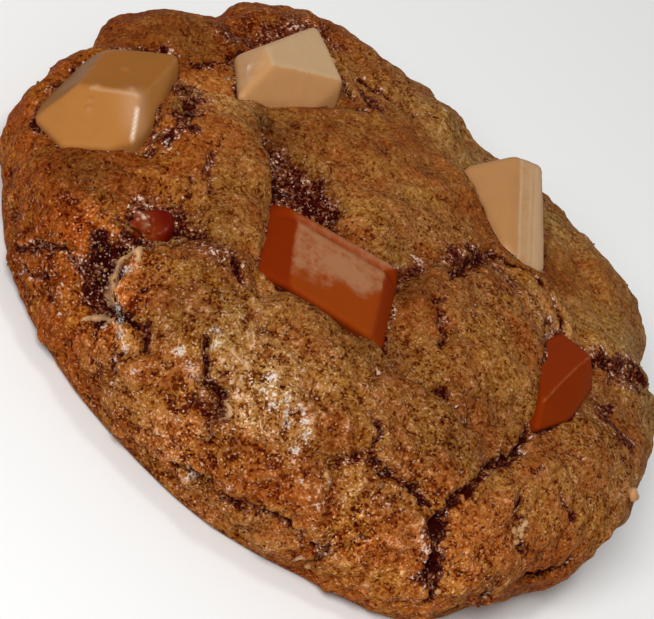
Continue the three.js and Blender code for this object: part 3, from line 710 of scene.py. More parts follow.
class Paint:
    """One material and the nodes behind it."""

    def __init__(self, name):
        self.material = bpy.data.materials.new(name)
        self.material.use_nodes = True
        self.tree = self.material.node_tree
        self.tree.nodes.clear()
        self.surface = self.tree.nodes.new("ShaderNodeBsdfPrincipled")
        output = self.tree.nodes.new("ShaderNodeOutputMaterial")
        self.tree.links.new(self.surface.outputs["BSDF"], output.inputs["Surface"])
        self.place = self.node("ShaderNodeTexCoord")["Object"]

    def connect(self, target, value):
        """Links a socket to another socket, or sets it to a number, a vector or a colour."""
        if isinstance(value, Socket):
            self.tree.links.new(value.socket, target)
        elif hasattr(target.default_value, "__len__") and len(target.default_value) > len(value):
            target.default_value = (*value, 1)
        else:
            target.default_value = value

    def node(self, kind, settings=None, values=None):
        """Adds a node. Returns its outputs by name."""
        made = self.tree.nodes.new(kind)
        for name, setting in (settings or {}).items():
            setattr(made, name, setting)
        for name, value in (values or {}).items():
            self.connect(made.inputs[name], value)
        return {out.name: Socket(self, out) for out in made.outputs if out.enabled}

    def attribute(self, name):
        return self.node("ShaderNodeAttribute", {"attribute_name": name})["Fac"]

    def moved(self, shift):
        """The place on the object, moved so that textures of one kind don't repeat each other."""
        return self.node("ShaderNodeVectorMath", {"operation": "ADD"}, {0: self.place, 1: shift})["Vector"]

    def noise(self, wave, detail=2, roughness=0.5, shift=(0, 0, 0)):
        """Noise about 0.5, with features of a given size in metres."""
        values = {"Vector": self.moved(shift), "Scale": 1 / wave, "Detail": detail, "Roughness": roughness}
        return self.node("ShaderNodeTexNoise", None, values)["Fac"]

    def scatter(self, wave, shift=(0, 0, 0)):
        """A value about 0.5 for each small grain, with grains of a given size in metres."""
        values = {"Vector": self.moved(shift), "Scale": 1 / wave}
        return self.node("ShaderNodeTexVoronoi", None, values)["Color"]

    def mix(self, factor, first, second, blend="MIX"):
        """A colour between two colours. A Mix node's colour inputs are those numbered 6 and 7."""
        settings = {"data_type": "RGBA", "blend_type": blend, "clamp_factor": True}
        return self.node("ShaderNodeMix", settings, {0: factor, 6: first, 7: second})["Result"]

    def shades(self, value, first, steps):
        """A chain of colours. Each step has where it starts, where it is full, and its colour."""
        for start, full, colour in steps:
            first = self.mix(value.ramp(start, full), first, colour)
        return first

    def bump(self, height, distance):
        return self.node("ShaderNodeBump", None, {"Height": height, "Distance": distance})["Normal"]

    def finish(self, **values):
        """Sets the surface's sockets, with _ for a space in their names."""
        for name, value in values.items():
            self.connect(self.surface.inputs[name.replace("_", " ")], value)
        return self.material


def shade(colour, factor):
    return tuple(factor * part for part in colour)


DARKEST_GRAIN = (0.075, 0.009, 0.001)
OLIVE_CAST = (0.97, 1.3, 1.7)
ORANGE_CAST = (0.98, 0.75, 0.48)
RED_CAST = (0.8, 0.5, 0.28)
OCHRE_CAST = (1.02, 1.1, 0.75)
PINK_SPARKLE = (0.8, 0.55, 0.42)
PALE_GLINT = (0.7, 0.63, 0.57)

# shades of the bared crumb: where each starts, where it is full, its colour
CRUMB_SHADES = [
    (0.05, 0.32, (0.093, 0.014, 0.005)), (0.3, 0.55, (0.17, 0.044, 0.015)),
    (0.55, 0.82, (0.3, 0.11, 0.043)), (0.85, 1.1, (0.7, 0.48, 0.38)),
]


def crust_cast(paint, patch, blotch, lump, tint):
    """The colour that the grain is multiplied by, for its hue and lightness from place to place."""
    cast = paint.mix(tint.at_least(0), (1, 1, 1), OLIVE_CAST)
    cast = paint.mix((0 - tint).at_least(0), cast, ORANGE_CAST)
    redness = (0.4 * patch + 0.4 * blotch + 0.2 * lump - 0.05 * tint).ramp(0.47, 0.58) * 0.75
    cast = paint.mix(redness, cast, RED_CAST, "MULTIPLY")
    ochre = (0.5 * patch + 0.5 * blotch).ramp(0.52, 0.4) * 0.6
    cast = paint.mix(ochre, cast, OCHRE_CAST, "MULTIPLY")
    # lightness from the patches: in part painted light and shade
    lightness = 0.5 + 0.5 * paint.attribute("crust_lift")
    return paint.mix(1.0, cast, paint.mix(lightness, (0.5, 0.5, 0.5), (1.5, 1.5, 1.5)), "MULTIPLY")


def crust_material(settings):
    """Baked cocoa crust: golden grain, red-brown patches, moist dark crumb in the cracks, small painted
    glints.
    """
    paint = Paint("baked_crust")
    names = ("low", "moist", "smear", "sheen", "tint", "busy", "dip")
    low, moist, smear, sheen, tint, busy, dip = (paint.attribute("crust_" + name) for name in names)
    patch = paint.noise(4.5 * MM, 4, 0.62, (0.1, 0.2, 0.3))
    blotch = paint.noise(8 * MM, 3, 0.6, (0.7, 0.3, 0.9))
    lump = paint.noise(2 * MM, 3, 0.6, (0.6, 0.9, 0.3))
    ragged = paint.noise(1.6 * MM, 3, 0.65, (0.3, 0.5, 0.8))
    grain = paint.noise(0.9 * MM, 5, 0.8, (0.4, 0.1, 0.2))
    grit = paint.scatter(0.5 * MM, (0.2, 0.6, 0.4))
    fleck = paint.scatter(0.27 * MM, (0.5, 0.1, 0.7))
    spark = paint.scatter(0.21 * MM, (0.9, 0.3, 0.1))
    grains = 0.75 * (fleck - 0.5) + 0.45 * (grit - 0.5) + 1.2 * (grain - 0.5)
    # dip: painted shade, a darker colour in the low dips of the grain
    spread = grains + 0.5 * (patch - 0.5) + 0.9 * (lump - 0.5) - 0.5 * (dip - 0.5)

    # 0.3 * sheen paints the grain lighter round the glint clusters: a painted highlight
    tone = 0.52 + spread * (0.72 + 0.55 * busy) + 0.3 * sheen
    dry = [(0.0, 0.3, settings.red), (0.22, 0.56, settings.mid), (0.5, 0.86, settings.light)]
    colour = paint.shades(tone, DARKEST_GRAIN, [*dry, (0.88, 1.15, settings.sparkle)])
    # painted sparkle highlights: small bright dots in the sparkle colour, with lower roughness
    painted_sparkle = (spark + 0.2 * (lump - 0.5)).ramp(0.78, 0.9) * (0.06 + 0.75 * busy)
    colour = paint.mix(painted_sparkle, colour, settings.sparkle)
    colour = paint.mix(1.0, colour, crust_cast(paint, patch, blotch, lump, tint), "MULTIPLY")

    crumb = paint.shades(0.48 + 1.7 * spread - 0.25 * low, settings.crevice, CRUMB_SHADES)
    speck = (0.62 * ragged + 0.25 * grain + 0.13 * (1 - fleck) + 0.1 * busy).ramp(0.63, 0.68)
    # inside: where the dark crumb shows, in cracks, pits and stains, and as painted shade round the cut
    # pieces
    inside = (low + 0.9 * (grain - 0.5) + 0.6 * (patch - 0.5) + 0.35 * (grit - 0.5)).ramp(0.3, 0.62)
    colour = paint.mix(inside.at_least(speck * 0.8), colour, crumb)

    # painted glints: pale highlight clusters where the sheen is
    painted_glint = (0.85 * sheen + 0.9 * (grain - 0.5) + 0.5 * (fleck - 0.5) + 0.7 * (spark - 0.5)).ramp(0.5, 1.1)
    # painted highlights: pink sparkles on the moist crumb
    colour = paint.mix(moist * spark.ramp(0.78, 0.93) * 0.8, colour, PINK_SPARKLE)
    colour = paint.mix(painted_glint * 0.9, colour, PALE_GLINT)
    smeared = (smear + 0.6 * (grain - 0.5) + 0.2 * (fleck - 0.5)).ramp(0.38, 0.56)
    # painted highlight along the smear's crest and painted shade down its sides
    thick = paint.mix(smear.ramp(0.55, 1.0), shade(settings.smear, 0.72), shade(settings.smear, 1.25))
    return paint.finish(
        Base_Color=paint.mix(smeared * (1.05 - 0.3 * grit), colour, thick),
        Roughness=0.62 - 0.1 * patch - 0.2 * painted_sparkle - 0.2 * painted_glint,
        Normal=paint.bump(0.9 * grain + 0.5 * grit + 0.45 * fleck, 0.42 * MM),
        IOR=1.45,
        Specular_IOR_Level=0.02,
    )


# painted highlight colour for the lit edges and glints of the cut pieces
PAINTED_EDGE_HIGHLIGHT = (0.78, 0.6, 0.45)
WET_DARK = (0.095, 0.003, 0.001)


def chocolate_material(name, main, film_colour, deep_colour, shine, reflection):
    """Cut chocolate: a smooth, slightly cloudy face with soft sheen, a dull film, fine pores, painted light
    and shade.
    """
    paint = Paint(name)
    film_and_painted_light = paint.attribute("film_and_painted_light")
    cloud = paint.noise(7 * MM, 3, 0.55, (0.2, 0.4, 0.6))
    worn = paint.noise(1.3 * MM, 4, 0.7, (0.3, 0.8, 0.2))
    pores = paint.noise(0.35 * MM, 2, 0.6, (0.5, 0.1, 0.7))
    colour = paint.mix(cloud.ramp(0.4, 0.7) * 0.3, main, shade(main, 0.8))
    # film colour: a dull film on the centre and sunken pieces, painted light and painted reflection on the
    # milk pieces' sides and tops
    filmed = (film_and_painted_light + 1.1 * film_and_painted_light.ramp(0.02, 0.3) * (worn - 0.5) + 0.4 * film_and_painted_light * (pores - 0.5)).ramp(0.1, 0.9)
    colour = paint.mix(filmed, colour, film_colour)
    # deep colour: the darker pieces' own colour, and painted shade on slanted sides, an edge and a groove
    colour = paint.mix(paint.attribute("deep"), colour, deep_colour)
    colour = paint.mix((0.5 * worn + 0.5 * pores).ramp(0.6, 0.7) * 0.2, colour, shade(main, 0.5))
    return paint.finish(
        # painted highlights: lit edges, rims and glints in a pale colour
        Base_Color=paint.mix(paint.attribute("lit") * (0.7 + 0.6 * pores), colour, PAINTED_EDGE_HIGHLIGHT),
        Roughness=shine + 0.15 * cloud + 0.12 * pores + 0.15 * filmed,
        Normal=paint.bump(0.6 * paint.noise(2.2 * MM) + 0.12 * pores, 0.14 * MM),
        IOR=1.48,
        Specular_IOR_Level=reflection,
        Subsurface_Weight=0.05,
        Subsurface_Scale=0.001,
    )


# ---------- pieces ----------


BASE_SPACING = 1.2
# WET_HOLLOW: where the moist crumb gets more of the painted pink sparkle highlights
WET_HOLLOW = (-25, -37, 6)  # place on the map and radius
EVEN_BUSY = 0.45  # how broken up the crust is where no patch says otherwise


def crust_roughness(x, y, height, marks, near_side):
    """How far the grain and the crags stand up, per grain height."""
    even = crust_points(x, y, height)
    crags = 1 + 1.3 * np.clip(0.6 * marks["cracks"] + 0.55 * marks["pits"], 0, 1) + 1.3 * near_side
    lumps = 1.3 * (0.4 - cells_at(even, 1.7, 3))
    rough = crags * (0.55 * noise_at(even, 2.6, 1) + 0.75 * noise_at(even, 1.15, 2) + lumps)
    rough *= 0.2 + 0.8 * smooth(marks["clear"] / 1.5)
    return rough * (1 - 0.7 * marks["smear"])


def closed_crust(points, counts):
    """The crust's vertices with those of the flat base, and the triangles over both."""
    rings = base_rings(points[-counts[-1] :], BASE_SPACING)
    counts = counts + [len(ring) for ring in rings]
    faces = []
    first = 0
    for inner, outer in zip(counts[:-1], counts[1:]):
        faces += stitch(first, inner, first + inner, outer)
        first += inner
    return np.vstack([points, *rings]), faces


def crust_tint(x, y):
    """The crust's hue: olive above 0, orange below."""
    tint = smooth((0.55 * x + 0.85 * y - 14) / 12) - smooth((-x - 16) / 12)
    tint -= smooth((np.hypot(x, y) - 41) / 8) * (0.15 + 0.35 * smooth((x - y - 40) / 20))
    tint *= 1 - 0.65 * smooth((y - 26) / 12)
    for ax, ay, radius, yellower in HUES:
        tint += yellower * spot(x, y, ax, ay, radius)
    return tint


def crust_stain_and_shade(x, y, clear):
    """How far the dark crumb is bared in the stains, and painted shade round the cut pieces."""
    bent = wander(x, y, STAIN_WAVES)
    # painted shade: a dark rim round each cut piece
    stain_and_shade = (0.65 + 0.35 * ripple(x, y, 5, 6.6)) * np.exp(-((clear / 0.6) ** 2))
    for path, half, strength in STAINS:
        stain_and_shade = np.maximum(stain_and_shade, strength * band(*bent, path, half))
    return stain_and_shade


def crust_patches(x, y):
    """How much lighter, and how broken up, each place is."""
    lift, busy = np.zeros_like(x), np.full_like(x, EVEN_BUSY)
    for ax, ay, radius, lighter, broken_up in PATCHES:
        near = spot(x, y, ax, ay, radius)
        lift += lighter * near
        busy += broken_up * near
    return lift, busy


class COOKIE_OT_crust(bpy.types.Operator):
    """Add the crust, one closed body with its relief, grain and colours"""

    bl_idname = "cookie.crust"
    bl_label = "Crust"

    def execute(self, context):
        settings = context.scene.cookie_crust
        x, y, counts = ring_map(settings.spacing / MM)
        height, marks = relief(x, y)
        near_side = smooth((-y - 26) / 8) * smooth((60 - np.abs(x)) / 20)
        rough = crust_roughness(x, y, height, marks, near_side)
        points = crust_points(x, y, height + settings.grain / MM * rough)
        piece = add_mesh("crust", *closed_crust(points, counts), "crust", "dough")
        stain_and_shade = crust_stain_and_shade(x, y, marks["clear"])
        lift, busy = crust_patches(x, y)
        # wet: where the crumb is moist, which places the painted pink sparkle highlights
        wet = 0.25 * marks["pits"] + 0.25 * near_side + 0.2 * stain_and_shade + 0.5 * spot(x, y, *WET_HOLLOW)
        drawn = {
            # crust_low also carries the painted shade round the cut pieces
            "crust_low": np.maximum(marks["cracks"] / 1.15 + 0.33 * marks["pits"], stain_and_shade),
            "crust_lift": lift,
            "crust_busy": busy,
            # painted shade in the low dips of the grain
            "crust_dip": 0.5 - 0.3 * rough,
            "crust_moist": wet,
            "crust_smear": marks["smear"],
            # the glint clusters, painted highlights
            "crust_sheen": np.max([spot(x, y, *glint) for glint in GLINTS], 0),
            "crust_tint": crust_tint(x, y),
        }
        spare = np.zeros(len(piece.data.vertices) - len(points))
        for name, values in drawn.items():
            add_attribute(piece, name, np.append(np.clip(values, -1, 1.6), spare))
        piece.data.materials.append(crust_material(settings))
        return {"FINISHED"}


def chunk_planes(corners):
    """Normals and offsets of the flat sides of the hull round a list of corners, and its middle."""
    solid = bmesh.new()
    for corner in corners:
        solid.verts.new(corner)
    bmesh.ops.convex_hull(solid, input=solid.verts)
    solid.normal_update()
    middle = np.mean(corners, 0)
    planes = []
    for face in solid.faces:
        normal = np.array(face.normal)
        offset = float(normal @ np.array(face.verts[0].co))
        if normal @ middle > offset:
            normal, offset = -normal, -offset
        if not any(normal @ n > 0.9995 and abs(offset - d) < 0.1 for n, d in planes):
            planes.append((normal, offset))
    solid.free()
    return np.array([n for n, _ in planes]), np.array([d for _, d in planes]), middle


def round_ball(divisions):
    """Points and triangles of a ball of radius 1."""
    ball = bmesh.new()
    bmesh.ops.create_icosphere(ball, subdivisions=divisions, radius=1)
    points = np.array([v.co for v in ball.verts])
    faces = np.array([[v.index for v in f.verts] for f in ball.faces])
    ball.free()
    return points, faces


def softened_hull(corners, soft, detail):
    """A fine mesh of the hull with its edges rounded: points, faces and outward normals."""
    farthest, halvings = 60.0, 26
    normals, offsets, middle = chunk_planes(corners)
    ways, faces = round_ball(detail)
    ways = ways * (np.ptp(np.array(corners), 0) / 2)
    ways /= np.linalg.norm(ways, axis=1)[:, None]
    facing = ways @ normals.T
    room = offsets - normals @ middle
    near, far = np.zeros(len(ways)), np.full(len(ways), farthest)
    for _ in range(halvings):
        reach = (near + far) / 2
        outside = soft * np.logaddexp.reduce((reach[:, None] * facing - room) / soft, axis=1) > 0
        far = np.where(outside, reach, far)
        near = np.where(outside, near, reach)
    share = np.exp((near[:, None] * facing - room) / soft)
    outward = share @ normals
    outward /= np.linalg.norm(outward, axis=1)[:, None]
    return middle + near[:, None] * ways, faces.tolist(), outward


def chunk_corners(chunk):
    foot = [(x * CHUNK_LEAN, y * CHUNK_LEAN, z - CHUNK_DEPTH) for x, y, z in chunk["waist"]]
    return chunk["crown"] + chunk["waist"] + foot


def facing(outward, way, start, full):
    """1 where the surface faces a way, 0 where it turns from it."""
    way = np.array(way, float)
    return smooth((outward @ (way / np.linalg.norm(way)) - start) / (full - start))


def line(points, path, half):
    """1 along a path seen from above, and less beside it."""
    return band(points[:, 0], points[:, 1], path, half)


def behind_line(points, start, end):
    """Distance behind a line seen from above, negative in front of it."""
    (ax, ay), (bx, by) = start[:2], end[:2]
    return ((bx - ax) * (points[:, 1] - ay) - (by - ay) * (points[:, 0] - ax)) / math.hypot(bx - ax, by - ay)


def pimples(points, places):
    """Height of small round pimples: place, radius and rise."""
    height = np.zeros(len(points))
    for place, radius, rise in places:
        away = np.linalg.norm(points - np.array(place), axis=1)
        height += rise * np.exp(-((away / radius) ** 2))
    return height


def add_chunk(name, material, detail, shape):
    """Adds one cut piece. shape gives the extra height, film and painted light, deep colour and glint at each
    point.
    """
    points, faces, outward = softened_hull(chunk_corners(CHUNKS[name]), CHUNKS[name]["soft"], detail)
    raised, *marks = shape(points, outward)
    raised = raised + 0.06 * noise_at(points, 5, 4) + 0.03 * noise_at(points, 1.6, 5)
    points = points + outward * (raised + CHUNK_EDGE * 0.6)[:, None]
    slot = name.split("_")[0] + "_chocolate"
    piece = add_mesh(name + "_cut", points, faces, slot, name)
    for mark, values in zip(("film_and_painted_light", "deep", "lit"), marks):
        add_attribute(piece, mark, np.clip(values, 0, 1))
    piece.data.materials.append(material)


def left_shape(points, outward):
    """Painted light and shade: a lighter cut side towards the viewer, a darker top with small pimples, a
    brown left side.
    """
    places = [
        ((-36.5, -9.5, 19.2), 0.5, 0.45), ((-37.5, -15.4, 18.6), 0.5, 0.45),
        ((-34.2, -14.2, 20.8), 0.45, 0.35), ((-37.2, -17.6, 18.2), 0.35, 0.3),
        ((-34.6, -11.6, 20.2), 0.3, 0.3), ((-36.6, -18.6, 18), 0.4, 0.35),
    ]
    high = points[:, 2] > 18.5
    side = facing(outward, (-0.3, -1, 0.3), 0.35, 0.55)
    right = facing(outward, (1, 0.1, 0.5), 0.5, 0.8)
    left = facing(outward, (-1, 0, 0), 0.72, 0.85)
    corner = line(points, [(-33.4, -15.2), (-31.5, -17.5)], 1.5) * high
    rim = line(points, [(-39.8, -16.3), (-37, -15.9), (-33.4, -15.1)], 0.22) * high
    glint = 0.9 * line(points, [(-32.4, -16.4), (-31.3, -18.1), (-30.5, -19.4)], 0.2) * (points[:, 2] > 17)
    # film: painted light, with the side towards the viewer, the right side and the corner lighter
    film_and_painted_light = np.maximum(0.9 * side, 0.75 * right) + 0.35 * corner
    bumps = pimples(points, places)
    # lit: painted highlights along the front right edge, the rim, the corner and the pimples
    return bumps, film_and_painted_light, 0.9 * left, np.maximum(glint, 0.2 * rim) + 0.15 * corner + 0.12 * bumps


# painted reflection: the back milk piece's top and left side lighter and greyer, with a painted glint on one
# edge
def back_shape(points, outward):
    top = facing(outward, (0, 0, 1), 0.8, 0.95)
    left = facing(outward, (-1, -0.4, 0.4), 0.6, 0.8)
    glint = 0.8 * line(points, [(-26.4, 5.2), (-25.9, 3.2)], 0.3) * (points[:, 2] > 22)
    return 0 * top, top + 0.4 * left, 0 * top, glint


def right_shape(points, outward):
    """A strip along the outer side with lengthwise streaks."""
    across = 0.873 * (points[:, 0] - 6.5) + 0.488 * (points[:, 1] - 25.7)
    strip = smooth(across / 0.35 + 0.5)
    seen = facing(outward, (0.6, -0.5, 0.6), 0.1, 0.35)
    streaks = seen * strip * np.sin(across * 5 + 1.5 * np.sin(across * 3.1))
    edge = np.exp(-((across / 0.22) ** 2))
    # lit: a faint painted highlight on the streaks and along the strip's edge
    return 0.03 * streaks, 0.7 * strip + 0.2 * streaks, 0.25 - 0.1 * strip, 0.05 * streaks + 0.04 * edge


def centre_shape(points, outward):
    """A rounded bead along the back edge, a worn film over the back half, painted shade on the slanted sides.
    """
    back_left, back_right, _, near_left = CHUNKS["dark_chunk_centre"]["crown"]
    behind = behind_line(points, back_left, back_right)
    past = behind_line(points, (-6.2, -23.2), (4.1, -15.6))
    top = facing(outward, (0, 0, 1), 0.78, 0.9)
    left = np.maximum(facing(outward, (-1, -0.5, 0), 0.14, 0.3), facing(outward, (-1, 0.5, 0), 0.25, 0.45))
    right = facing(outward, (1, 0.2, 0), 0.16, 0.32)
    edge = line(points, [back_left[:2], near_left[:2]], 0.35)
    groove = top * np.exp(-(((behind + 0.15) / 0.3) ** 2))
    bead = 0.5 * top * np.exp(-(((behind - 0.9) / 0.6) ** 2)) - 0.28 * groove
    x, y = points[:, 0], points[:, 1]
    worn = 0.6 * ripple(x, y, 4.5, 1.1) + 0.3 * ripple(x, y, 1.6, 2.1)
    dotted = 0.66 + 0.3 * noise_at(points, 0.6, 7)
    film_and_painted_light = smooth((past + worn) / 5.5 + 0.5) * dotted + 0.4 * line(points, [(-2.6, -16.4), (1.8, -16.2)], 1.4)
    film_and_painted_light = top * np.where(behind > -0.2, 0.35 + 0.5 * smooth(behind), film_and_painted_light) * (1 - left) * (1 - right)
    # deep: painted shade on the slanted sides, along the left crown edge and in the groove before the bead
    return bead - 0.12 * edge, film_and_painted_light, np.maximum(left, 0.8 * right) + 0.5 * edge + 0.4 * groove, 0 * film_and_painted_light


def ridge_shape(points, outward):
    """Two dark facets with a thin ridge between them, lighter with a painted highlight."""
    ridge = line(points, [(28.5, 6.1), (27.9, 2), (27.4, -3), (27, -8.5)], 0.14)
    ridge *= facing(outward, (0, 0, 1), 0.5, 0.7)
    lower = facing(outward, (1, 0, 0.6), 0.8, 0.95)
    return 0.12 * ridge, 0.5 * ridge, (0.85 - 0.3 * lower) * (1 - 0.8 * ridge), 0 * ridge


def sunken_shape(points, outward):
    """A rough piece, half sunk on the near side, with one smooth wet face."""
    veil = smooth((0.6 * (-22.2 - points[:, 0]) + 0.8 * (-26.6 - points[:, 1])) / 1.8 + 0.5)
    lumps = noise_at(points, 1.3, 6)
    fine = noise_at(points, 0.6, 8)
    raised = 0.25 * noise_at(points, 2.2, 6) + veil * (0.6 * lumps + 0.25 * fine - 0.75)
    # lit: painted highlights on the crumbly lumps of the near side
    return raised, veil * (0.2 + lumps), 1 - 0.5 * veil, 0.8 * smooth(veil * (fine + 0.6 * lumps) * 2 - 0.5)


class COOKIE_OT_milk_chunks(bpy.types.Operator):
    """Add the three paler cut chocolate pieces"""

    bl_idname = "cookie.milk_chunks"
    bl_label = "Milk chocolate pieces"

    def execute(self, context):
        look = context.scene.cookie_chocolate
        # brown: painted shade on the left milk piece's left side, and a darker tone on the right milk piece
        brown = shade(look.milk_lit, 0.55)
        warm = chocolate_material("warm_milk_chocolate", look.milk, look.milk_lit, brown, 0.2, 0.035)
        pale = chocolate_material("pale_milk_chocolate", look.pale, look.pale_top, brown, 0.2, 0.15)
        add_chunk("milk_chunk_left", warm, look.detail, left_shape)
        add_chunk("milk_chunk_back", pale, look.detail, back_shape)
        add_chunk("milk_chunk_right", pale, look.detail, right_shape)
        return {"FINISHED"}


class COOKIE_OT_dark_chunks(bpy.types.Operator):
    """Add the three darker cut chocolate pieces"""

    bl_idname = "cookie.dark_chunks"
    bl_label = "Dark chocolate pieces"

    def execute(self, context):
        look = context.scene.cookie_chocolate
        dark = chocolate_material("dark_chocolate", look.dark, look.bloom, look.deep, 0.22, 0.008)
        wet = chocolate_material("wet_dark_chocolate", look.dark, look.bloom, WET_DARK, 0.14, 0.06)
        add_chunk("dark_chunk_centre", dark, look.detail, centre_shape)
        add_chunk("dark_chunk_right", dark, look.detail, ridge_shape)
        add_chunk("dark_chunk_sunken", wet, look.detail - 1, sunken_shape)
        return {"FINISHED"}


def surface_at(x, y):
    """Places on the crust and the way up from it, from map coordinates."""
    height, _ = relief(x, y)
    points = crust_points(x, y, height)
    up = crust_points(x, y, height + 1) - points
    return points, up / np.linalg.norm(up, axis=1)[:, None]


def add_lumps(name, x, y, sizes, slot, material, rng):
    """Small uneven lumps lying on the crust, all in one mesh."""
    ways, sides = round_ball(2)
    stack = []
    for place, up, size in zip(*surface_at(x, y), sizes):
        stretch = np.diag(rng.uniform(0.7, 1.25, 3))
        turned, _ = np.linalg.qr(rng.normal(size=(3, 3)))
        lump = ways @ stretch @ turned * rng.uniform(0.82, 1.12, (len(ways), 1))
        lump -= 0.3 * (lump @ up)[:, None] * up
        stack.append(place + (lump + 0.15 * up) * size)
    faces = (sides[None] + len(ways) * np.arange(len(stack))[:, None, None]).reshape(-1, 3)
    piece = add_mesh(name, np.vstack(stack), faces.tolist(), slot, None)
    piece.data.materials.append(material)
    return piece


def along(path, count, spread, rng):
    """Random places along a path on the map."""
    path = np.array(path, float)
    lengths = np.append(0, np.cumsum(np.hypot(*np.diff(path, axis=0).T)))
    at = rng.uniform(0, lengths[-1], count)
    x, y = (np.interp(at, lengths, path[:, axis]) for axis in (0, 1))
    return x + rng.normal(0, spread, count), y + rng.normal(0, spread, count)


def sized(x, y, small, large, rng):
    """Places on the map, with a random size for each."""
    return np.stack([x, y, rng.uniform(small, large, len(x))])


# denser trails of crumbs: path on the map, count, spread, smallest and largest radius
CRUMB_TRAILS = [
    ([(-31.9, -1.5), (-29.4, -8), (-28.6, -14), (-28.8, -19)], 45, 0.6, 0.14, 0.36),
    ([(-27.5, -27), (-27, -31), (-23, -32.8), (-19.3, -30.8)], 50, 0.8, 0.12, 0.3),
]


def strew_crumbs(rng):
    """Places and sizes of the crumbs: round the cut pieces, in the cracks, all over, and in trails."""
    heaps = []
    for chunk in CHUNKS.values():
        outline = chunk_outline(chunk)
        x, y = along(outline + outline[:1], 55, 0.4, rng)
        keep = (depth_inside(x, y, outline) < -0.1) & (np.hypot(x, y) < 62)
        heaps.append(sized(x[keep], y[keep], 0.12, 0.34, rng))
    for path, half, _ in CRACKS:
        heaps.append(sized(*along(path, 14, half, rng), 0.12, 0.32, rng))
    x, y = rng.uniform(-50, 50, (2, 500))
    keep = np.hypot(x, y) < 56
    heaps.append(sized(x[keep], y[keep], 0.12, 0.26, rng))
    for path, count, spread, small, large in CRUMB_TRAILS:
        heaps.append(sized(*along(path, count, spread, rng), small, large, rng))
    return np.hstack(heaps)


class COOKIE_OT_crumbs(bpy.types.Operator):
    """Add the loose crumbs and the small bits of milk chocolate"""

    bl_idname = "cookie.crumbs"
    bl_label = "Crumbs"

    def execute(self, context):
        rng = np.random.default_rng(7)
        x, y, sizes = strew_crumbs(rng)
        crumbs = add_lumps("crumbs", x, y, sizes, "crust", bpy.data.materials["baked_crust"], rng)
        count = len(crumbs.data.vertices)
        add_attribute(crumbs, "crust_busy", np.full(count, 0.4))
        add_attribute(crumbs, "crust_low", np.repeat(rng.uniform(0, 0.3, len(x)), count // len(x)))
        add_attribute(crumbs, "crust_lift", np.full(count, -0.85))
        pale = bpy.data.materials["pale_milk_chocolate"]
        add_lumps("milk_bits", *np.array(BITS).T, "milk_chocolate", pale, rng)
        return {"FINISHED"}


PHOTO_WIDTH = 654  # pixels
PHOTO_PIXELS_PER_MM = 8.12
PHOTO_OFFSET = (-17.0, -21.8)  # pixels from the picture's middle to the cookie's
SENSOR_WIDTH = 36  # millimetres
FARTHEST_SEEN = 20  # metres
FLOOR_HALF = 3.0  # metres
MIDDLE_HEIGHT = 10  # of the cookie, in millimetres


def add_floor(settings):
    mesh = bpy.data.meshes.new("floor")
    corners = [(x * FLOOR_HALF, y * FLOOR_HALF, 0) for x, y in ((-1, -1), (1, -1), (1, 1), (-1, 1))]
    mesh.from_pydata(corners, [], [(0, 1, 2, 3)])
    mesh.materials.append(Paint("pale_floor").finish(Base_Color=settings.floor, Roughness=0.9))
    add_object("floor", mesh)


def add_surroundings(settings):
    world = bpy.data.worlds.new("soft_surroundings")
    world.use_nodes = True
    background = world.node_tree.nodes["Background"]
    background.inputs["Color"].default_value = (1, 1, 1, 1)
    background.inputs["Strength"].default_value = settings.sky
    bpy.context.scene.world = world


def add_lamp(name, middle, place, size, power):
    """Adds a round soft light, at a place in metres from the cookie's middle, that faces it."""
    lamp = bpy.data.lights.new(name, "AREA")
    lamp.shape = "DISK"
    lamp.size = size
    lamp.energy = power
    light = add_object(name, lamp)
    light.location = middle + Vector(place)
    light.rotation_euler = (-Vector(place)).to_track_quat("-Z", "Y").to_euler()


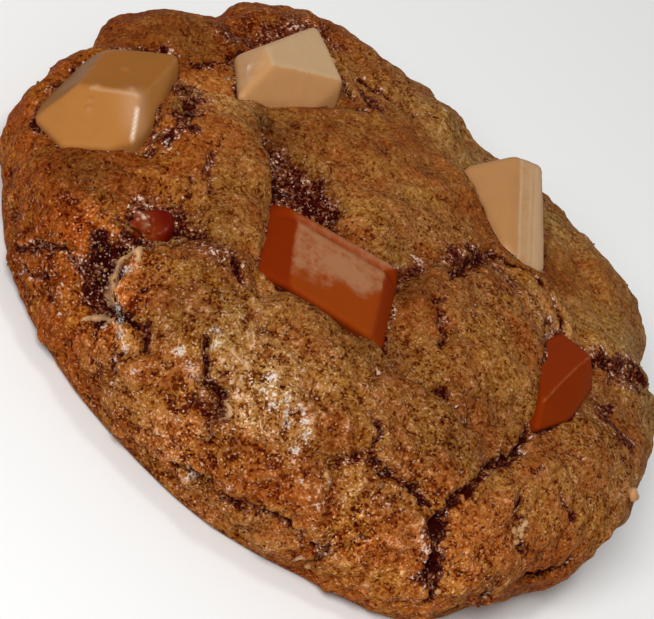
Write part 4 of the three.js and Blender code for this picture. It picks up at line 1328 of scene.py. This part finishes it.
def add_camera(middle, settings):
    """Adds the camera at the photo's angle, distance and framing."""
    camera = bpy.data.cameras.new("camera")
    camera.sensor_width = SENSOR_WIDTH
    camera.lens = SENSOR_WIDTH * settings.distance / (PHOTO_WIDTH / PHOTO_PIXELS_PER_MM * MM)
    camera.shift_x, camera.shift_y = (pixels / PHOTO_WIDTH for pixels in PHOTO_OFFSET)
    camera.clip_end = FARTHEST_SEEN
    back = Vector((0, -math.cos(settings.elevation), math.sin(settings.elevation)))
    turn = Matrix.Rotation(math.pi / 2 - settings.elevation, 4, "X") @ Matrix.Rotation(settings.roll, 4, "Z")
    eye = add_object("camera", camera)
    eye.matrix_world = Matrix.Translation(middle + back * settings.distance) @ turn
    bpy.context.scene.camera = eye


class COOKIE_OT_stage(bpy.types.Operator):
    """Add the pale floor, the soft lights and the camera"""

    bl_idname = "cookie.stage"
    bl_label = "Stage"

    def execute(self, context):
        settings = context.scene.cookie_stage
        middle = Vector(SHIFT * MM) + Vector((0, 0, MIDDLE_HEIGHT * MM))
        context.scene.view_settings.view_transform = "Standard"
        add_floor(settings)
        add_surroundings(settings)
        add_lamp("front_light", middle, (-0.12, -0.5, 0.45), 0.35, settings.front)
        add_lamp("top_light", middle, (0.02, -0.02, 0.7), 0.12, settings.top)
        add_lamp("back_light", middle, (0.1, 0.6, 0.35), 0.5, settings.back)
        add_camera(middle, settings)
        return {"FINISHED"}


class COOKIE_PT_panel(bpy.types.Panel):
    """The cookie's pieces, in the 3D view's sidebar"""

    bl_label = "Cookie"
    bl_idname = "COOKIE_PT_panel"
    bl_space_type = "VIEW_3D"
    bl_region_type = "UI"
    bl_category = "Cookie"

    def draw(self, context):
        for operator in OPERATORS:
            self.layout.operator(operator.bl_idname)


OPERATORS = (COOKIE_OT_crust, COOKIE_OT_milk_chunks, COOKIE_OT_dark_chunks, COOKIE_OT_crumbs, COOKIE_OT_stage)
GROUPS = {"cookie_crust": CookieCrust, "cookie_chocolate": CookieChocolate, "cookie_stage": CookieStage}


def register():
    for cls in (*GROUPS.values(), *OPERATORS, COOKIE_PT_panel):
        bpy.utils.register_class(cls)
    for name, group in GROUPS.items():
        setattr(bpy.types.Scene, name, PointerProperty(type=group))


def unregister():
    for name in GROUPS:
        delattr(bpy.types.Scene, name)
    for cls in reversed((*GROUPS.values(), *OPERATORS, COOKIE_PT_panel)):
        bpy.utils.unregister_class(cls)


def main():
    register()
    bpy.ops.cookie.crust()
    bpy.ops.cookie.milk_chunks()
    bpy.ops.cookie.dark_chunks()
    bpy.ops.cookie.crumbs()
    bpy.ops.cookie.stage()
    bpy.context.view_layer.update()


if __name__ == "__main__":
    main()
